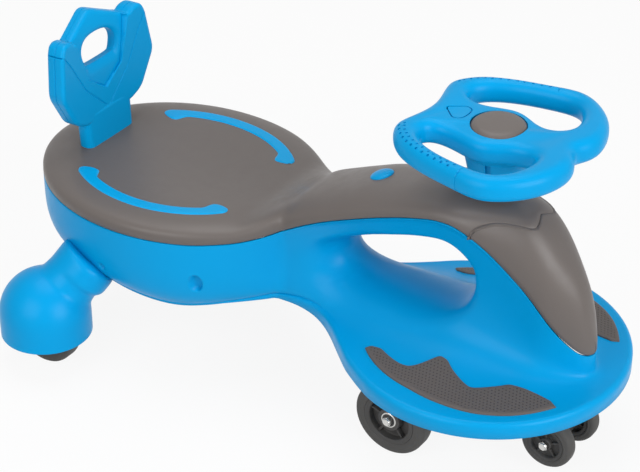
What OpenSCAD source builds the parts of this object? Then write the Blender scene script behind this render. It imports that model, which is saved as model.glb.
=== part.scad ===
// Wiggle car: a ride-on toy that is driven by swinging its steering wheel.
// Millimetres, +X forward, +Y to the rider's left, +Z up, origin on the floor under the middle.

/* [Seat] */
// Distance of the seat's centre behind the origin
seat_back = 198; // [185:1:205]
// Half length of the seat's oval outline
seat_half_length = 180; // [170:1:190]
// Half width of the seat's oval outline
seat_half_width = 146; // [138:1:152]
// Height of the seam between the seat cover and the tub
seam_height = 195; // [188:1:202]
// Rise of the seat above its seam
seat_crown = 22; // [16:1:28]
// Depth of the hollow pressed into the seat
seat_dish = 6; // [3:0.5:9]
// How far the tub draws in from the seam down to its lower lip
tub_taper = 20; // [14:1:26]
// Height of the tub's lower lip
tub_lip_height = 103; // [98:1:108]
// How far the lower lip rises at the waist
waist_rise = 14; // [8:1:18]

/* [Neck and nose] */
// Half width of the neck at its seam
neck_half_width = 58; // [54:0.5:62]
// Height of the neck's ridge at the steering column
ridge_height = 312; // [304:1:318]
// Height of the neck's seam at its highest point
neck_seam_height = 290; // [284:1:294]
// Reach of the nose ahead of the column
nose_reach = 143; // [138:1:146]
// How far the cheeks are drawn in under the neck
cheek_pinch = 28; // [20:1:32]

/* [Foot plate] */
// Distance of the steering axis ahead of the origin
column_ahead = 218; // [210:1:226]
// Radius of the round foot plate
plate_radius = 160; // [154:1:166]
// Height of the plate's lower lip
plate_lip_height = 105; // [101:1:109]
// Height of the plate's upright rim
rim_height = 20; // [15:1:24]
// Rounding of the rim's upper edge
rim_round = 6; // [4:0.5:8]
// Wall of the moulded shells
wall = 3; // [2.4:0.1:3.6]

/* [Arch opening] */
// Length of the opening under the neck
hole_length = 194; // [186:1:196]
// Height of the opening under the neck
hole_height = 108; // [98:1:110]
// Distance of the opening's middle behind the column
hole_back = 95; // [94:1:99]
// Height of the opening's middle
hole_middle = 203; // [200:1:206]
// Distance from the mid plane at which the opening has its stated size
hole_gauge = 40; // [36:1:44]

/* [Steering] */
// Radius of the steering shaft
shaft_radius = 6; // [5:0.5:7]
// Height of the steering wheel's middle plane
wheel_plane = 380; // [376:1:386]
// Half length of the steering wheel, front to back
wheel_half_length = 95; // [90:1:100]
// Half width of the steering wheel
wheel_half_width = 112; // [106:1:118]
// Thickness of the steering wheel's rim
wheel_thick = 26; // [24:1:28]
// Radius of the hub cap
cap_radius = 30; // [26:1:32]
// Height of the hub cap's edge above the steering wheel
cap_rise = 4; // [3:0.5:6]

/* [Road wheels] */
// Radius of the four wheels that carry the car
road_radius = 45; // [42:0.5:46]
// Width of a road wheel
road_width = 24; // [20:1:26]
// Radius of the two wheels that stop it tipping forward
tip_radius = 31; // [28:0.5:32]
// Width of a tip wheel
tip_width = 18; // [14:1:20]
// Clear height of the tip wheels above the floor
tip_clear = 10; // [8:1:12]
// Distance of the rear wheels behind the origin
rear_wheel_back = 281; // [276:1:286]
// Half the track of the rear wheels
rear_half_track = 169; // [164:1:174]
// How far the front road wheels trail the column
trail = 65; // [60:1:70]
// Half the track of the front road wheels
front_half_track = 88; // [84:1:92]
// How far the tip wheels lead the column
lead = 97; // [92:1:102]
// Half the track of the tip wheels
tip_half_track = 28; // [27:1:32]
// Radius of every wheel axle
axle_radius = 3; // [2.5:0.5:4]

/* [Rear legs] */
// Outer radius of the bell over each rear wheel
bell_radius = 54; // [53:0.5:57]
// Height of the bell's rim above the floor
bell_rim = 40; // [37:0.5:41]
// Height at which the bell's dome starts
bell_shoulder = 66; // [62:1:70]
// Radius of the leg's neck at the tub
leg_radius = 31; // [28:0.5:33]

/* [Backrest] */
// Height of the backrest above the seat
back_height = 160; // [150:1:170]
// Half width of the backrest
back_half_width = 87; // [82:1:94]
// Thickness of the backrest
back_thick = 25; // [22:1:30]
// Distance of the backrest behind the seat's centre
back_set = 120; // [116:1:126]
// Lean of the backrest in degrees
back_lean = 3; // [0:0.5:5]

/* [Fits] */
// Radial clearance of turning fits
run_clear = 0.05; // [0.03:0.01:0.08]
// Clearance between pieces that are put together
seat_clear = 0.3; // [0.2:0.05:0.5]
// Side play of each wheel
side_play = 0.6; // [0.5:0.1:0.8]

/* [Hidden] */

blue = "#0b9be3";
grey = "#6d6763";
dark = "#4c4a49";
steel = "silver";
$fn = 40;

// One overrun serves every cut
over = 20;
seat_x = -seat_back;
column_x = column_ahead;
car_front = column_x + plate_radius;
car_rear = seat_x - seat_half_length;
seat_top = seam_height + seat_crown;
plate_top = plate_lip_height + rim_height;

// Rounding of the plan outline where seat and neck meet, and the fall of an oval past its end
waist_blend = 60;
fall_share = 2;
// Plan of the plate and of the tongue behind it: shares of the plate's radius
lip_shares = [[-3.6, -4], [-2, 0.33], [-1.36, 0.36], [-1.2, 0.375], [-1.09, 0.415], [-0.975, 0.495],
  [-0.844, 0.61], [-0.69, 0.745], [-0.5, 0.866]];
circle_share = -0.5;
function plate_half(u) = u > circle_share ? sqrt(max(1 - u * u, 0)) : eased(lip_shares, u, ease_share);

// Largest of two widths with a rounded change from one to the other
function blend_max(a, b, k) = max(a, b) + pow(max(k - abs(a - b), 0), 2) / (4 * k);
// Half width of an oval at x, falling away past its ends
function oval(x, c, a, b) = abs(x - c) < a
  ? b * sqrt(1 - pow((x - c) / a, 2))
  : -fall_share * (abs(x - c) - a);
// A share table read with its corners rounded over the width d
function eased(table, u, d) = (lookup(u - d, table) + 2 * lookup(u, table) + lookup(u + d, table)) / 4;

// Shares along the neck: 0 where it leaves the seat, 1 at the foot of the nose
start_share = 0.55;
neck_start = seat_x + seat_half_length * start_share;
nose_end = column_x + nose_reach;
function neck_share(x) = (x - neck_start) / (nose_end - neck_start);
ease_share = 0.02;
// What rises takes its share of the rise, and what falls takes its share of the fall
function rise_or_fall(share, rise, fall) = share * (share > 0 ? rise : fall);
// Ridge: share of the rise from the seat to the top of the neck, and of the fall to the plate
ridge_shares = [[0.077, 0], [0.12, 0.08], [0.154, 0.18], [0.203, 0.37], [0.257, 0.485], [0.37, 0.715],
  [0.504, 0.905], [0.592, 0.98], [0.697, 1], [0.765, 0.99], [0.807, 0.94], [0.84, 0.81], [0.862, 0.685],
  [0.886, 0.52], [0.926, 0.24], [0.945, 0.07], [0.96, -0.155], [0.97, -0.516], [0.978, -0.878], [0.985, -1],
  [1, -1]];
// Seam: share of the rise from the seat's seam to the neck's, and of the fall to the plate
seam_shares = [[0, 0], [0.087, 0.025], [0.124, 0.065], [0.16, 0.12], [0.196, 0.22], [0.235, 0.335],
  [0.291, 0.475], [0.345, 0.59], [0.428, 0.75], [0.51, 0.885], [0.59, 0.99], [0.643, 1], [0.69, 0.9],
  [0.735, 0.76], [0.78, 0.58], [0.82, 0.41], [0.853, 0.26], [0.885, 0.1], [0.92, -0.136], [0.96, -0.489],
  [1, -0.814], [1.05, -0.977]];
// Half width at the seam: share of the neck's half width
width_shares = [[-0.61, -3], [-0.1, 0.9], [0.2, 1.03], [0.35, 1], [0.5, 0.95], [0.65, 0.93], [0.74, 0.83],
  [0.83, 0.73], [0.87, 0.62], [0.902, 0.53], [0.933, 0.4], [0.952, 0.26], [0.967, 0.13], [0.98, 0.04],
  [1.05, 0.02]];
// Squareness of the upper section, from the seat's flat top to the round neck and nose
square_shares = [[-0.05, 5], [0.1, 3], [0.22, 2.4], [0.6, 2.5], [0.8, 2.8], [0.95, 2.3]];
// Draw-in of the cheeks: share of the pinch
pinch_shares = [[0.1, 0], [0.2, 0.3], [0.35, 0.9], [0.6, 1], [0.7, 0.6], [0.85, 0.25], [1, 0]];

seat_rim_power = 5;
// The nose stays narrower than the plate under it by this share
nose_limit_share = 0.8;
rear_share = function(x) min(max((seat_x - x) / seat_half_length, 0), 1);
ridge_z = function(x) seam_height
  + seat_crown * pow(1 - pow(rear_share(x), seat_rim_power), 1 / seat_rim_power)
  + rise_or_fall(eased(ridge_shares, neck_share(x), ease_share),
    ridge_height - seat_top, seat_top - plate_top);
seam_z = function(x) seam_height + rise_or_fall(eased(seam_shares, neck_share(x), ease_share),
  neck_seam_height - seam_height, seam_height - plate_top);
// The tub tapers more at its rear: its lower lip sits ahead of the seat by this share of the taper
lip_ahead_share = 0.45;
lip_half = function(x) blend_max(
  oval(x, seat_x + tub_taper * lip_ahead_share, seat_half_length - tub_taper, seat_half_width - tub_taper),
  plate_radius * plate_half((x - column_x) / plate_radius), waist_blend);
seam_half = function(x) min(
  blend_max(oval(x, seat_x, seat_half_length, seat_half_width),
    neck_half_width * eased(width_shares, neck_share(x), ease_share), waist_blend),
  x > column_x ? lip_half(x) * nose_limit_share : seat_half_width);

// 0 on the tub, 1 on the plate
plate_shares = [[-0.05, 0], [0.32, 1]];
function plate_part(x) = eased(plate_shares, neck_share(x), ease_share);
// Rise of the lower lip at the waist: share of its full rise
waist_shares = [[-0.05, 0], [0.09, 0.6], [0.157, 0.8], [0.226, 1], [0.265, 0.75], [0.33, 0.2], [0.4, 0]];
function lip_z(x) = tub_lip_height + (plate_lip_height - tub_lip_height) * plate_part(x)
  + waist_rise * eased(waist_shares, neck_share(x), ease_share);
least_rim = 1.5;
least_round = 0.5;
function rim_z(x) = lip_z(x) + least_rim + (rim_height - least_rim) * plate_part(x);
function round_at(x) = least_round + (rim_round - least_round) * plate_part(x);

// The nose leans ahead of its upper sections by this much at the very front
nose_lean = 22;
function lean_at(x) = nose_lean * pow(max(x - column_x, 0) / plate_radius, 2);

// A size drawn in by t on every side, ends included
function eroded(f, x, t) = min(f(x - t), f(x + t)) - t;
least_half = 0.6;

dome_steps = 5;
side_steps = 6;
round_steps = 2;
tub_power = 4;
plate_power = 11;
// Hollow of the seat: it ends at this share of the outline
dish_share = 0.86;
dish_power = 1.5;
function dish_at(x, y) = seat_dish * pow(max(1 - pow((x - seat_x) / (seat_half_length * dish_share), 2)
  - pow(y / (seat_half_width * dish_share), 2), 0), dish_power);
// The seam drops by this share of the wall inside, and the side's points crowd towards the plate
seam_drop_share = 0.6;
crowd_power = 1.5;

// Half section of the body at station x, drawn in by t: from the ridge out and down to the lip
function half_section(x, t) = let(
    xt = x - lean_at(x),
    n = eased(square_shares, neck_share(x), ease_share),
    wl = max(eroded(lip_half, x, t), least_half),
    ws = max(min(eroded(seam_half, x, t), x > column_x ? wl * nose_limit_share : seat_half_width),
      least_half),
    zr = eroded(ridge_z, xt, t),
    zs = min(eroded(seam_z, x, t) + t * seam_drop_share, zr - least_rim),
    e = round_at(x),
    zl = lip_z(x) - (t > 0 ? over : 0),
    zm = rim_z(x) + t * (1 - 2 * plate_part(x)),
    pinch = cheek_pinch * eased(pinch_shares, neck_share(x), ease_share))
  concat(
    [for (i = [0 : dome_steps]) let(a = 90 * i / dome_steps,
        y = ws * pow(sin(a), 2 / n), z = zs + (zr - zs) * pow(max(cos(a), 0), 2 / n))
      [xt + (x - xt) * i / (dome_steps + side_steps), y, z - dish_at(x, y)]],
    [for (i = [1 : side_steps]) let(v = 1 - pow(1 - i / side_steps, crowd_power),
        c = plate_part(x) * (1 - sqrt(1 - pow(v, plate_power))) + (1 - plate_part(x)) * pow(v, tub_power))
      [xt + (x - xt) * (i + dome_steps) / (dome_steps + side_steps),
       ws + (wl - e - ws) * c - pinch * sin(180 * v) * ws / neck_half_width, zs + (zm - zs) * v]],
    [for (i = [1 : round_steps]) let(a = 90 * i / round_steps)
      [x, wl - e + e * sin(a), zm - e + e * cos(a)]],
    [[x, wl, zl]]);

// The two halves joined into one closed ring
function whole_section(x, t) = let(h = half_section(x, t), m = len(h))
  concat([for (i = [m - 1 : -1 : 1]) [h[i][0], -h[i][1], h[i][2]]], h);

// A solid through rings that have the same number of points
module loft(rings) {
  n = len(rings[0]);
  m = len(rings);
  sides = [for (i = [0 : m - 2], j = [0 : n - 1]) let(k = (j + 1) % n)
    each [[i * n + j, i * n + k, (i + 1) * n + j], [i * n + k, (i + 1) * n + k, (i + 1) * n + j]]];
  ends = [[for (j = [n - 1 : -1 : 0]) j], [for (j = [0 : n - 1]) (m - 1) * n + j]];
  polyhedron([for (r = rings) each r], concat(sides, ends));
}

station_count = 38;
first_share = 0.014;
// Stations crowd towards both ends of the car; the foot of the nose is left thick
nose_walls = 6;
function stations(t) = let(x0 = car_rear + 2 * t, x1 = car_front - nose_walls * t)
  [for (i = [0 : station_count]) (x0 + x1) / 2
    - (x1 - x0) / 2 * cos(180 * (first_share + (1 - 2 * first_share) * i / station_count))];
module form(t) loft([for (x = stations(t)) whole_section(x, t)]);

// Height of the finished surface at a place on the seat, and on the foot plate
function seat_z(x, y) = let(n = eased(square_shares, neck_share(x), ease_share),
    ws = seam_half(x), zs = seam_z(x))
  zs + (ridge_z(x) - zs) * pow(max(1 - pow(abs(y) / ws, n), 0), 1 / n) - dish_at(x, y);
function plate_z(x, y) = let(h = half_section(x, 0))
  lookup(abs(y), [for (i = [dome_steps + 2 : len(h) - 2]) [h[i][1], h[i][2]]]);

// A closed smooth curve through a few points
function mix(a, b, c, d, u) = 0.5 * (2 * b + (c - a) * u + (2 * a - 5 * b + 4 * c - d) * u * u
  + (3 * b - a - 3 * c + d) * u * u * u);
function smooth_ring(p, steps) = let(n = len(p)) [for (i = [0 : n - 1], s = [0 : steps - 1])
  mix(p[(i + n - 1) % n], p[i], p[(i + 1) % n], p[(i + 2) % n], s / steps)];
// A ring moved outwards by d, inwards where d is negative
function ring_offset(p, d) = let(n = len(p)) [for (i = [0 : n - 1])
  let(t = p[(i + 1) % n] - p[(i + n - 1) % n]) p[i] + d * [t[1], -t[0]] / norm(t)];
// Rings of a slab with rounded edges: a plan outline, its lower and upper height and the rounding
function slab_rings(p, z0, z1, r, steps) = concat(
  [for (i = [steps : -1 : 0]) let(a = 90 * i / steps)
    [for (q = ring_offset(p, r * (cos(a) - 1))) [q[0], q[1], z1 - r * (1 - sin(a))]]],
  [for (i = [steps : -1 : 0]) let(a = 90 * i / steps)
    [for (q = ring_offset(p, r * (sin(a) - 1))) [q[0], q[1], z0 + r * (1 - cos(a))]]]);
// Rings of a hole with flared edges through such a slab
function flare_rings(p, z0, z1, r, steps) = concat(
  [[for (q = ring_offset(p, r)) [q[0], q[1], z1 + over]]],
  [for (i = [steps : -1 : 0]) let(a = 90 * i / steps)
    [for (q = ring_offset(p, r * (1 - cos(a)))) [q[0], q[1], z1 - r * (1 - sin(a))]]],
  [for (i = [steps : -1 : 0]) let(a = 90 * i / steps)
    [for (q = ring_offset(p, r * (1 - sin(a)))) [q[0], q[1], z0 + r * (1 - cos(a))]]],
  [[for (q = ring_offset(p, r)) [q[0], q[1], z0 - over]]]);

// Opening under the neck: side outline as shares of its half length and half height
hole_shares = [[-1, -0.33], [-0.96, -0.06], [-0.83, 0.13], [-0.7, 0.24], [-0.37, 0.52], [0, 0.78],
  [0.36, 0.96], [0.67, 1], [0.94, 0.69], [1, 0.31], [0.99, -0.09], [0.907, -0.43], [0.742, -0.68],
  [0.433, -0.88], [0.02, -0.95], [-0.34, -0.94], [-0.7, -0.89], [-0.918, -0.69]];
// Size of the opening at the mid plane as shares of its stated size
hole_front_share = 0.907;
hole_rear_share = 0.876;
hole_top_share = 0.83;
hole_floor_share = 0.853;
hole_level_shares = [0, 0.5, 1, 1.3, 1.6];
hole_curve_steps = 1;
function flared(share, side) = share + (1 - share) * side * side;
function hole_ring(side, grow) = let(x0 = column_x - hole_back,
    front = hole_length / 2 * flared(hole_front_share, side) + grow,
    rear = hole_length / 2 * flared(hole_rear_share, side) + grow,
    top = hole_height / 2 * flared(hole_top_share, side) + grow,
    floor_drop = hole_height / 2 * flared(hole_floor_share, side) + grow)
  [for (q = smooth_ring(hole_shares, hole_curve_steps))
    [x0 + q[0] * (q[0] > 0 ? front : rear), -side * hole_gauge,
     hole_middle + q[1] * (q[1] > 0 ? top : floor_drop)]];
hole_last = len(hole_level_shares) - 1;
module arch_hole(grow) loft([for (i = [-hole_last : hole_last])
  hole_ring((i < 0 ? -1 : 1) * hole_level_shares[abs(i)], grow)]);

// The space above the seam, from the rear to the nose, and the space that the nose cover fills
cover_end_share = 0.69;
nose_top_shares = [[0, 0.81], [0.2, 0.82], [0.36, 0.822], [0.47, 0.81], [0.55, 0.79], [0.62, 0.765],
  [0.7, 0.735], [0.8, 0.715], [0.92, 0.69]];
nose_last = len(nose_top_shares) - 1;
function share_x(u) = neck_start + u * (nose_end - neck_start);
nose_foot = 26;
seam_steps = 38;
seam_gap = 0.4;
module seam_space(lift) rotate([90, 0, 0]) linear_extrude(2 * seat_half_width + over, center = true)
  polygon(concat([for (i = [0 : seam_steps])
      let(x = car_rear - seam_gap + (nose_end - over - car_rear) * i / seam_steps) [x, seam_z(x) + lift]],
    [[nose_end, seam_z(nose_end - over)], [nose_end + over, plate_top + nose_foot],
     [car_front, plate_top + nose_foot], [car_front + over, wheel_plane], [car_rear - over, wheel_plane],
     [car_rear - over, seam_height + lift]]));
// Plan of the nose cover: its rear edge waves round the foot of the column
module nose_plan(gap) translate([0, 0, plate_top]) linear_extrude(wheel_plane)
  polygon(concat(
    [for (i = [-nose_last : nose_last]) let(q = nose_top_shares[abs(i)])
      [share_x(q[1]) + gap, (i < 0 ? -1 : 1) * neck_half_width * q[0]]],
    [[share_x(cover_end_share) + gap, plate_radius], [car_front + over, plate_radius],
     [car_front + over, -plate_radius], [share_x(cover_end_share) + gap, -plate_radius]]));

// Steering column seats
bush_wall = 3;
bush_length = 18;
bush_flange = 2;
bush_radius = shaft_radius + run_clear + bush_wall;
column_wall = 4;
column_radius = bush_radius + seat_clear + column_wall;
column_foot = plate_lip_height + bush_flange + bush_wall;
collar_rise = 4;
collar_top = ridge_height + collar_rise;

// Axis of the leg's neck, from the bell up to a place in the tub: shares of the seat's half length
// and half width and of the tub's height
leg_top_shares = [-0.19, 0.719, 0.595];
leg_axis = [seat_x + seat_half_length * leg_top_shares[0] + rear_wheel_back,
  rear_half_track - seat_half_width * leg_top_shares[1],
  tub_lip_height + (seam_height - tub_lip_height) * leg_top_shares[2] - bell_shoulder];
leg_length = norm(leg_axis);
leg_turn = [0, acos(leg_axis[2] / leg_length), atan2(leg_axis[1], leg_axis[0])];
spigot_start_share = 0.62;
spigot_end_share = 0.92;
spigot_start = leg_length * spigot_start_share;
spigot_end = leg_length * spigot_end_share;
spigot_step = 2.5;
sleeve_wall = 3;
sleeve_floor = 4;
screw_radius = 2.5;
screw_head = 5;
// Bores for pins and bushes are wider than what they hold by this much
bore_gap = 0.1;
module at_leg() translate([-rear_wheel_back, -rear_half_track, bell_shoulder]) rotate(leg_turn) children();
module both_sides() {
  children();
  mirror([0, 1, 0]) children();
}

// Ribs across the car at shares of its half length
tub_rib_shares = [-0.78, -0.5, -0.3, -0.1];
plate_rib_shares = [0.3, 0.46, 0.7, 0.84];
cover_rib_shares = [-0.9, -0.68, -0.56, -0.44, -0.32, -0.2, 0.08, 0.3];
rib_thick = 2.5;
rib_drop = 14;
rib_corner = 5;
module rib(x, half, z0, z1) translate([x, 0, 0]) hull() {
  for (y = [-half, half], z = [z0, z1]) translate([0, y, z]) rotate([0, 90, 0])
    cylinder(r = rib_corner, h = rib_thick, center = true, $fn = 8);
}

// Screw posts that hold the seat cover to the tub, at angles round the seat's oval
post_angles = [40, 140, 220, 320];
post_share = 0.955;
post_radius = 6;
post_depth = 40;
thread_share = 0.3;
function post_x(a) = seat_x + seat_half_length * post_share * cos(a);
function post_y(a) = let(x = post_x(a), slope = (seam_half(x + wall) - seam_half(x - wall)) / (2 * wall))
  sign(sin(a)) * (seam_half(x) - (post_radius + wall * root_share) * sqrt(1 + slope * slope));

// Recessed side screws of the tub
side_screw_shares = [0.52, 0.76, 0.42];
side_screw_x = seat_x + seat_half_length * side_screw_shares[0];
side_screw_y = seat_half_width * side_screw_shares[1];
side_screw_z = tub_lip_height + (seam_height - tub_lip_height) * side_screw_shares[2];
recess_radius = 6;
recess_depth = 8;
module at_side_screw() translate([side_screw_x, -side_screw_y, side_screw_z]) rotate([-90, 0, 0]) children();

// The ribs and posts reach this share of the wall into it
root_share = 0.5;
module body_shell() color(blue) difference() {
  union() {
    difference() {
      form(0);
      difference() {
        form(wall);
        arch_hole(wall);
      }
      arch_hole(0);
    }
    intersection() {
      form(wall * root_share);
      union() {
        for (s = tub_rib_shares) let(x = s * car_front)
          rib(x, seat_half_width, tub_lip_height + 2 * rib_drop, tub_lip_height + 4 * rib_drop);
        for (s = plate_rib_shares) let(x = s * car_front)
          rib(x, plate_radius, plate_top - rib_drop, plate_top);
        for (a = post_angles) translate([post_x(a), post_y(a), seam_height - post_depth])
          cylinder(r = post_radius, h = post_depth, $fn = 24);
        both_sides() at_side_screw() translate([0, 0, -over])
          cylinder(r = recess_radius + wall, h = over + 3 * recess_depth, $fn = 24);
      }
    }
    intersection() {
      form(wall * root_share);
      union() {
        translate([column_x, 0, column_foot]) cylinder(r = column_radius, h = collar_top - column_foot);
        translate([column_x + column_radius - column_wall, -plate_radius, column_foot])
          cube([rib_thick, 2 * plate_radius, neck_seam_height - column_foot - 2 * over]);
      }
    }
    both_sides() at_leg() translate([0, 0, spigot_start])
      cylinder(r = leg_radius + seat_clear + sleeve_wall, h = spigot_end - spigot_start + sleeve_floor);
  }
  seam_space(-seam_gap);
  translate([column_x, 0, plate_lip_height - over]) cylinder(r = bush_radius + bore_gap, h = wheel_plane);
  both_sides() at_leg() {
    cylinder(r = leg_radius - spigot_step + seat_clear, h = spigot_end + seat_clear);
    leg_cone(seat_clear);
    cylinder(r = screw_radius + seat_clear, h = leg_length + over, $fn = 24);
  }
  both_sides() at_side_screw() translate([0, 0, -over]) {
    cylinder(r = recess_radius, h = over + recess_depth, $fn = 24);
    cylinder(r = screw_radius + bore_gap, h = over + 4 * recess_depth, $fn = 16);
  }
  for (a = post_angles) translate([post_x(a), post_y(a), seam_height - post_depth - over]) {
    cylinder(r = screw_radius + seat_clear, h = post_depth + 2 * over, $fn = 16);
    cylinder(r = screw_head + seat_clear, h = over, $fn = 24);
  }
}

// Backrest outline: shares of its half width and height, from the foot up one side
back_side_shares = [[0.42, -0.16], [0.43, 0.17], [0.72, 0.23], [1, 0.51], [0.86, 0.9], [0.6, 0.9],
  [0.52, 0.83]];
back_peak_share = 1;
back_hole_shares = [[0.38, 0.66], [0.33, 0.8], [0.13, 0.88], [-0.13, 0.88], [-0.33, 0.8], [-0.38, 0.66],
  [-0.24, 0.54], [0.24, 0.54]];
back_round = 6;
back_corner = 9;
slot_share = 0.43;
slot_half = back_half_width * slot_share;
back_pin_radius = 4;
back_pin_shares = [0.62, 0.105];
back_pin_half = back_half_width * back_pin_shares[0];
back_pin_drop = back_height * back_pin_shares[1];
corner_share = 0.4;
function back_point(q) = [back_half_width * q[0], back_height * q[1]];
// Corners of an outline cut to short arcs
function cut_corners(p, r, steps) = let(n = len(p)) [for (i = [0 : n - 1]) let(
    a = p[(i + n - 1) % n] - p[i], b = p[(i + 1) % n] - p[i],
    d = min(r, norm(a) * corner_share, norm(b) * corner_share),
    u = p[i] + a / norm(a) * d, w = p[i] + b / norm(b) * d)
  each [for (k = [0 : steps]) let(t = k / steps) u * (1 - t) * (1 - t) + p[i] * 2 * t * (1 - t) + w * t * t]];
module at_back() translate([seat_x - back_set, 0, seat_top]) rotate([0, -back_lean, 0]) rotate([90, 0, 90])
  children();
module back_slab() loft(slab_rings(cut_corners(concat([for (q = back_side_shares) back_point(q)],
    [back_point([0, back_peak_share])],
    [for (i = [len(back_side_shares) - 1 : -1 : 0])
      back_point([-back_side_shares[i][0], back_side_shares[i][1]])]), back_corner, 2),
  -back_thick / 2, back_thick / 2, back_round, 2));
module backrest() color(blue) difference() {
  at_back() back_slab();
  at_back() loft(flare_rings(cut_corners([for (q = back_hole_shares) back_point(q)], back_round, 1),
    -back_thick / 2, back_thick / 2, back_round, 2));
  back_pin_bore(seat_clear);
}
module back_pin_bore(gap) at_back() translate([0, -back_pin_drop, 0]) rotate([0, 90, 0])
  cylinder(r = back_pin_radius + gap, h = 2 * back_pin_half, center = true, $fn = 24);
module backrest_pin() color(steel) back_pin_bore(0);

module seat_cover() color(grey) difference() {
  union() {
    intersection() {
      difference() {
        form(0);
        form(wall);
      }
      seam_space(seam_gap);
    }
    intersection() {
      form(wall * root_share);
      seam_space(seam_gap);
      union() {
        for (s = cover_rib_shares) let(x = s * car_front)
          rib(x, seat_half_width, seam_z(x) + rib_corner, wheel_plane);
        for (a = post_angles) translate([post_x(a), post_y(a), seam_height])
          cylinder(r = post_radius, h = seat_crown, $fn = 24);
      }
    }
    translate([column_x, 0, collar_top - bush_length]) cylinder(r = column_radius, h = bush_length);
  }
  nose_plan(-seat_clear);
  translate([column_x, 0, seam_height]) cylinder(r = bush_radius + bore_gap, h = wheel_plane);
  at_back() translate([-slot_half - seat_clear, -back_height, -back_thick / 2 - seat_clear])
    cube([2 * (slot_half + seat_clear), 2 * back_height, back_thick + 2 * seat_clear]);
  at_plug() translate([0, 0, -over]) cylinder(r = plug_stem + seat_clear, h = 2 * over, $fn = 24);
  for (a = post_angles) translate([post_x(a), post_y(a), seam_height - over])
    cylinder(r = screw_radius + bore_gap, h = over + post_depth * thread_share, $fn = 16);
}

// Pegs inside the nose cover: shares of the nose's reach and half width
peg_shares = [[0.28, 0.55], [0.28, -0.55], [0.5, 0.5], [0.5, -0.5], [0.7, 0.4], [0.7, -0.4],
  [0.85, 0.25], [0.85, -0.25]];
peg_radius = 3;
module nose_cover() color(grey) intersection() {
  form(0);
  seam_space(seam_gap);
  nose_plan(0);
  union() {
    difference() {
      translate([column_x - over, -plate_radius, plate_lip_height])
        cube([plate_radius + 2 * over, 2 * plate_radius, wheel_plane]);
      form(wall);
    }
    for (q = peg_shares) translate([column_x + nose_reach * q[0], neck_half_width * q[1], 0]) hull() {
      translate([0, 0, seam_z(column_x + nose_reach * q[0])]) cylinder(r = peg_radius, h = wall, $fn = 12);
      translate([0, 0, wheel_plane]) cylinder(r = 2 * peg_radius, h = wall, $fn = 12);
    }
  }
}

// Inlaid stripes that follow the seat's oval
stripe_share = 0.72;
stripe_from = 35;
stripe_to = 133;
stripe_half = 7;
stripe_rise = 1.6;
stripe_steps = 22;
stripe_width_shares = [[0, 0.5], [0.03, 1.2], [0.08, 1.55], [0.14, 1.3], [0.2, 1], [0.5, 1], [0.84, 1],
  [0.9, 1.4], [0.96, 1.2], [1, 0.5]];
stripe_cross_shares = [[-1, 0.1], [-0.75, 1], [0, 1.15], [0.75, 1], [1, 0.1], [0, 0.1]];
function stripe_ring(u) = let(a = stripe_from + (stripe_to - stripe_from) * u,
    w = stripe_half * lookup(u, stripe_width_shares),
    c = [seat_x + seat_half_length * stripe_share * cos(a), -seat_half_width * stripe_share * sin(a)],
    d = [cos(a), -sin(a)])
  [for (q = stripe_cross_shares) let(p = c + d * w * q[0])
    [p[0], p[1], seat_z(p[0], p[1]) + seat_clear + stripe_rise * q[1]]];
module seat_stripe_right() color(blue)
  loft([for (i = [stripe_steps : -1 : 0]) stripe_ring(i / stripe_steps)]);
module seat_stripe_left() color(blue) mirror([0, 1, 0]) seat_stripe_right();

// Foot pads: a band round the column whose inner edge waves
// Angles are from the front, radii are shares of the plate's radius
pad_from = 30;
pad_to = 136;
pad_steps = 36;
pad_rise = 2.5;
pad_lift = 0.6;
pad_edge = 1.5;
pad_inner_shares = [[0, 0.87], [0.021, 0.775], [0.082, 0.676], [0.153, 0.62], [0.271, 0.629],
  [0.381, 0.649], [0.48, 0.569], [0.606, 0.486], [0.7, 0.485], [0.73, 0.6], [0.76, 0.675], [0.813, 0.713],
  [0.975, 0.768], [1, 0.83]];
pad_outer_shares = [[0, 0.91], [0.18, 0.912], [0.33, 0.897], [0.48, 0.861], [0.645, 0.835], [0.8, 0.848],
  [1, 0.87]];
pad_cross_shares = [0, 0.3, 0.65, 1];
function pad_ring(u) = let(a = pad_from + (pad_to - pad_from) * u, d = [cos(a), -sin(a)],
    r0 = plate_radius * lookup(u, pad_inner_shares), r1 = plate_radius * lookup(u, pad_outer_shares))
  concat([for (q = pad_cross_shares) pad_point(d, r0 + pad_edge + (r1 - r0 - 2 * pad_edge) * q, pad_rise)],
    [for (i = [3 : -1 : 0]) pad_point(d, r0 + (r1 - r0) * pad_cross_shares[i], 0)]);
function pad_point(d, r, h) = let(p = [column_x, 0] + d * r) [p[0], p[1], plate_z(p[0], p[1]) + pad_lift + h];
module foot_pad_right() color(grey) loft([for (i = [0 : pad_steps]) pad_ring(i / pad_steps)]);
module foot_pad_left() color(grey) mirror([0, 1, 0]) foot_pad_right();

// Plug on the neck's ridge
plug_share = 0.34;
plug_x = column_x - (column_x - seat_x) * plug_share;
plug_radius = 13.5;
plug_stem = 7;
plug_rise = 3;
plug_tilt = -atan((ridge_z(plug_x + over) - ridge_z(plug_x - over)) / (2 * over));
module at_plug() translate([plug_x, 0, ridge_z(plug_x)]) rotate([0, plug_tilt, 0]) children();
module neck_plug() color(blue) at_plug() {
  translate([0, 0, seat_clear]) cylinder(r1 = plug_radius, r2 = plug_radius - plug_rise, h = plug_rise);
  translate([0, 0, -2 * wall]) cylinder(r = plug_stem, h = 3 * wall);
}

// Rear leg: a bell over the wheel, a neck, and a spigot that goes into the tub
bell_wall = 3;
boss_radius = 9;
module bell(r) {
  translate([0, 0, bell_rim - bell_shoulder]) cylinder(r = r, h = bell_shoulder - bell_rim);
  intersection() {
    sphere(r = r);
    translate([-2 * r, -2 * r, 0]) cube([4 * r, 4 * r, 2 * r]);
  }
}
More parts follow.
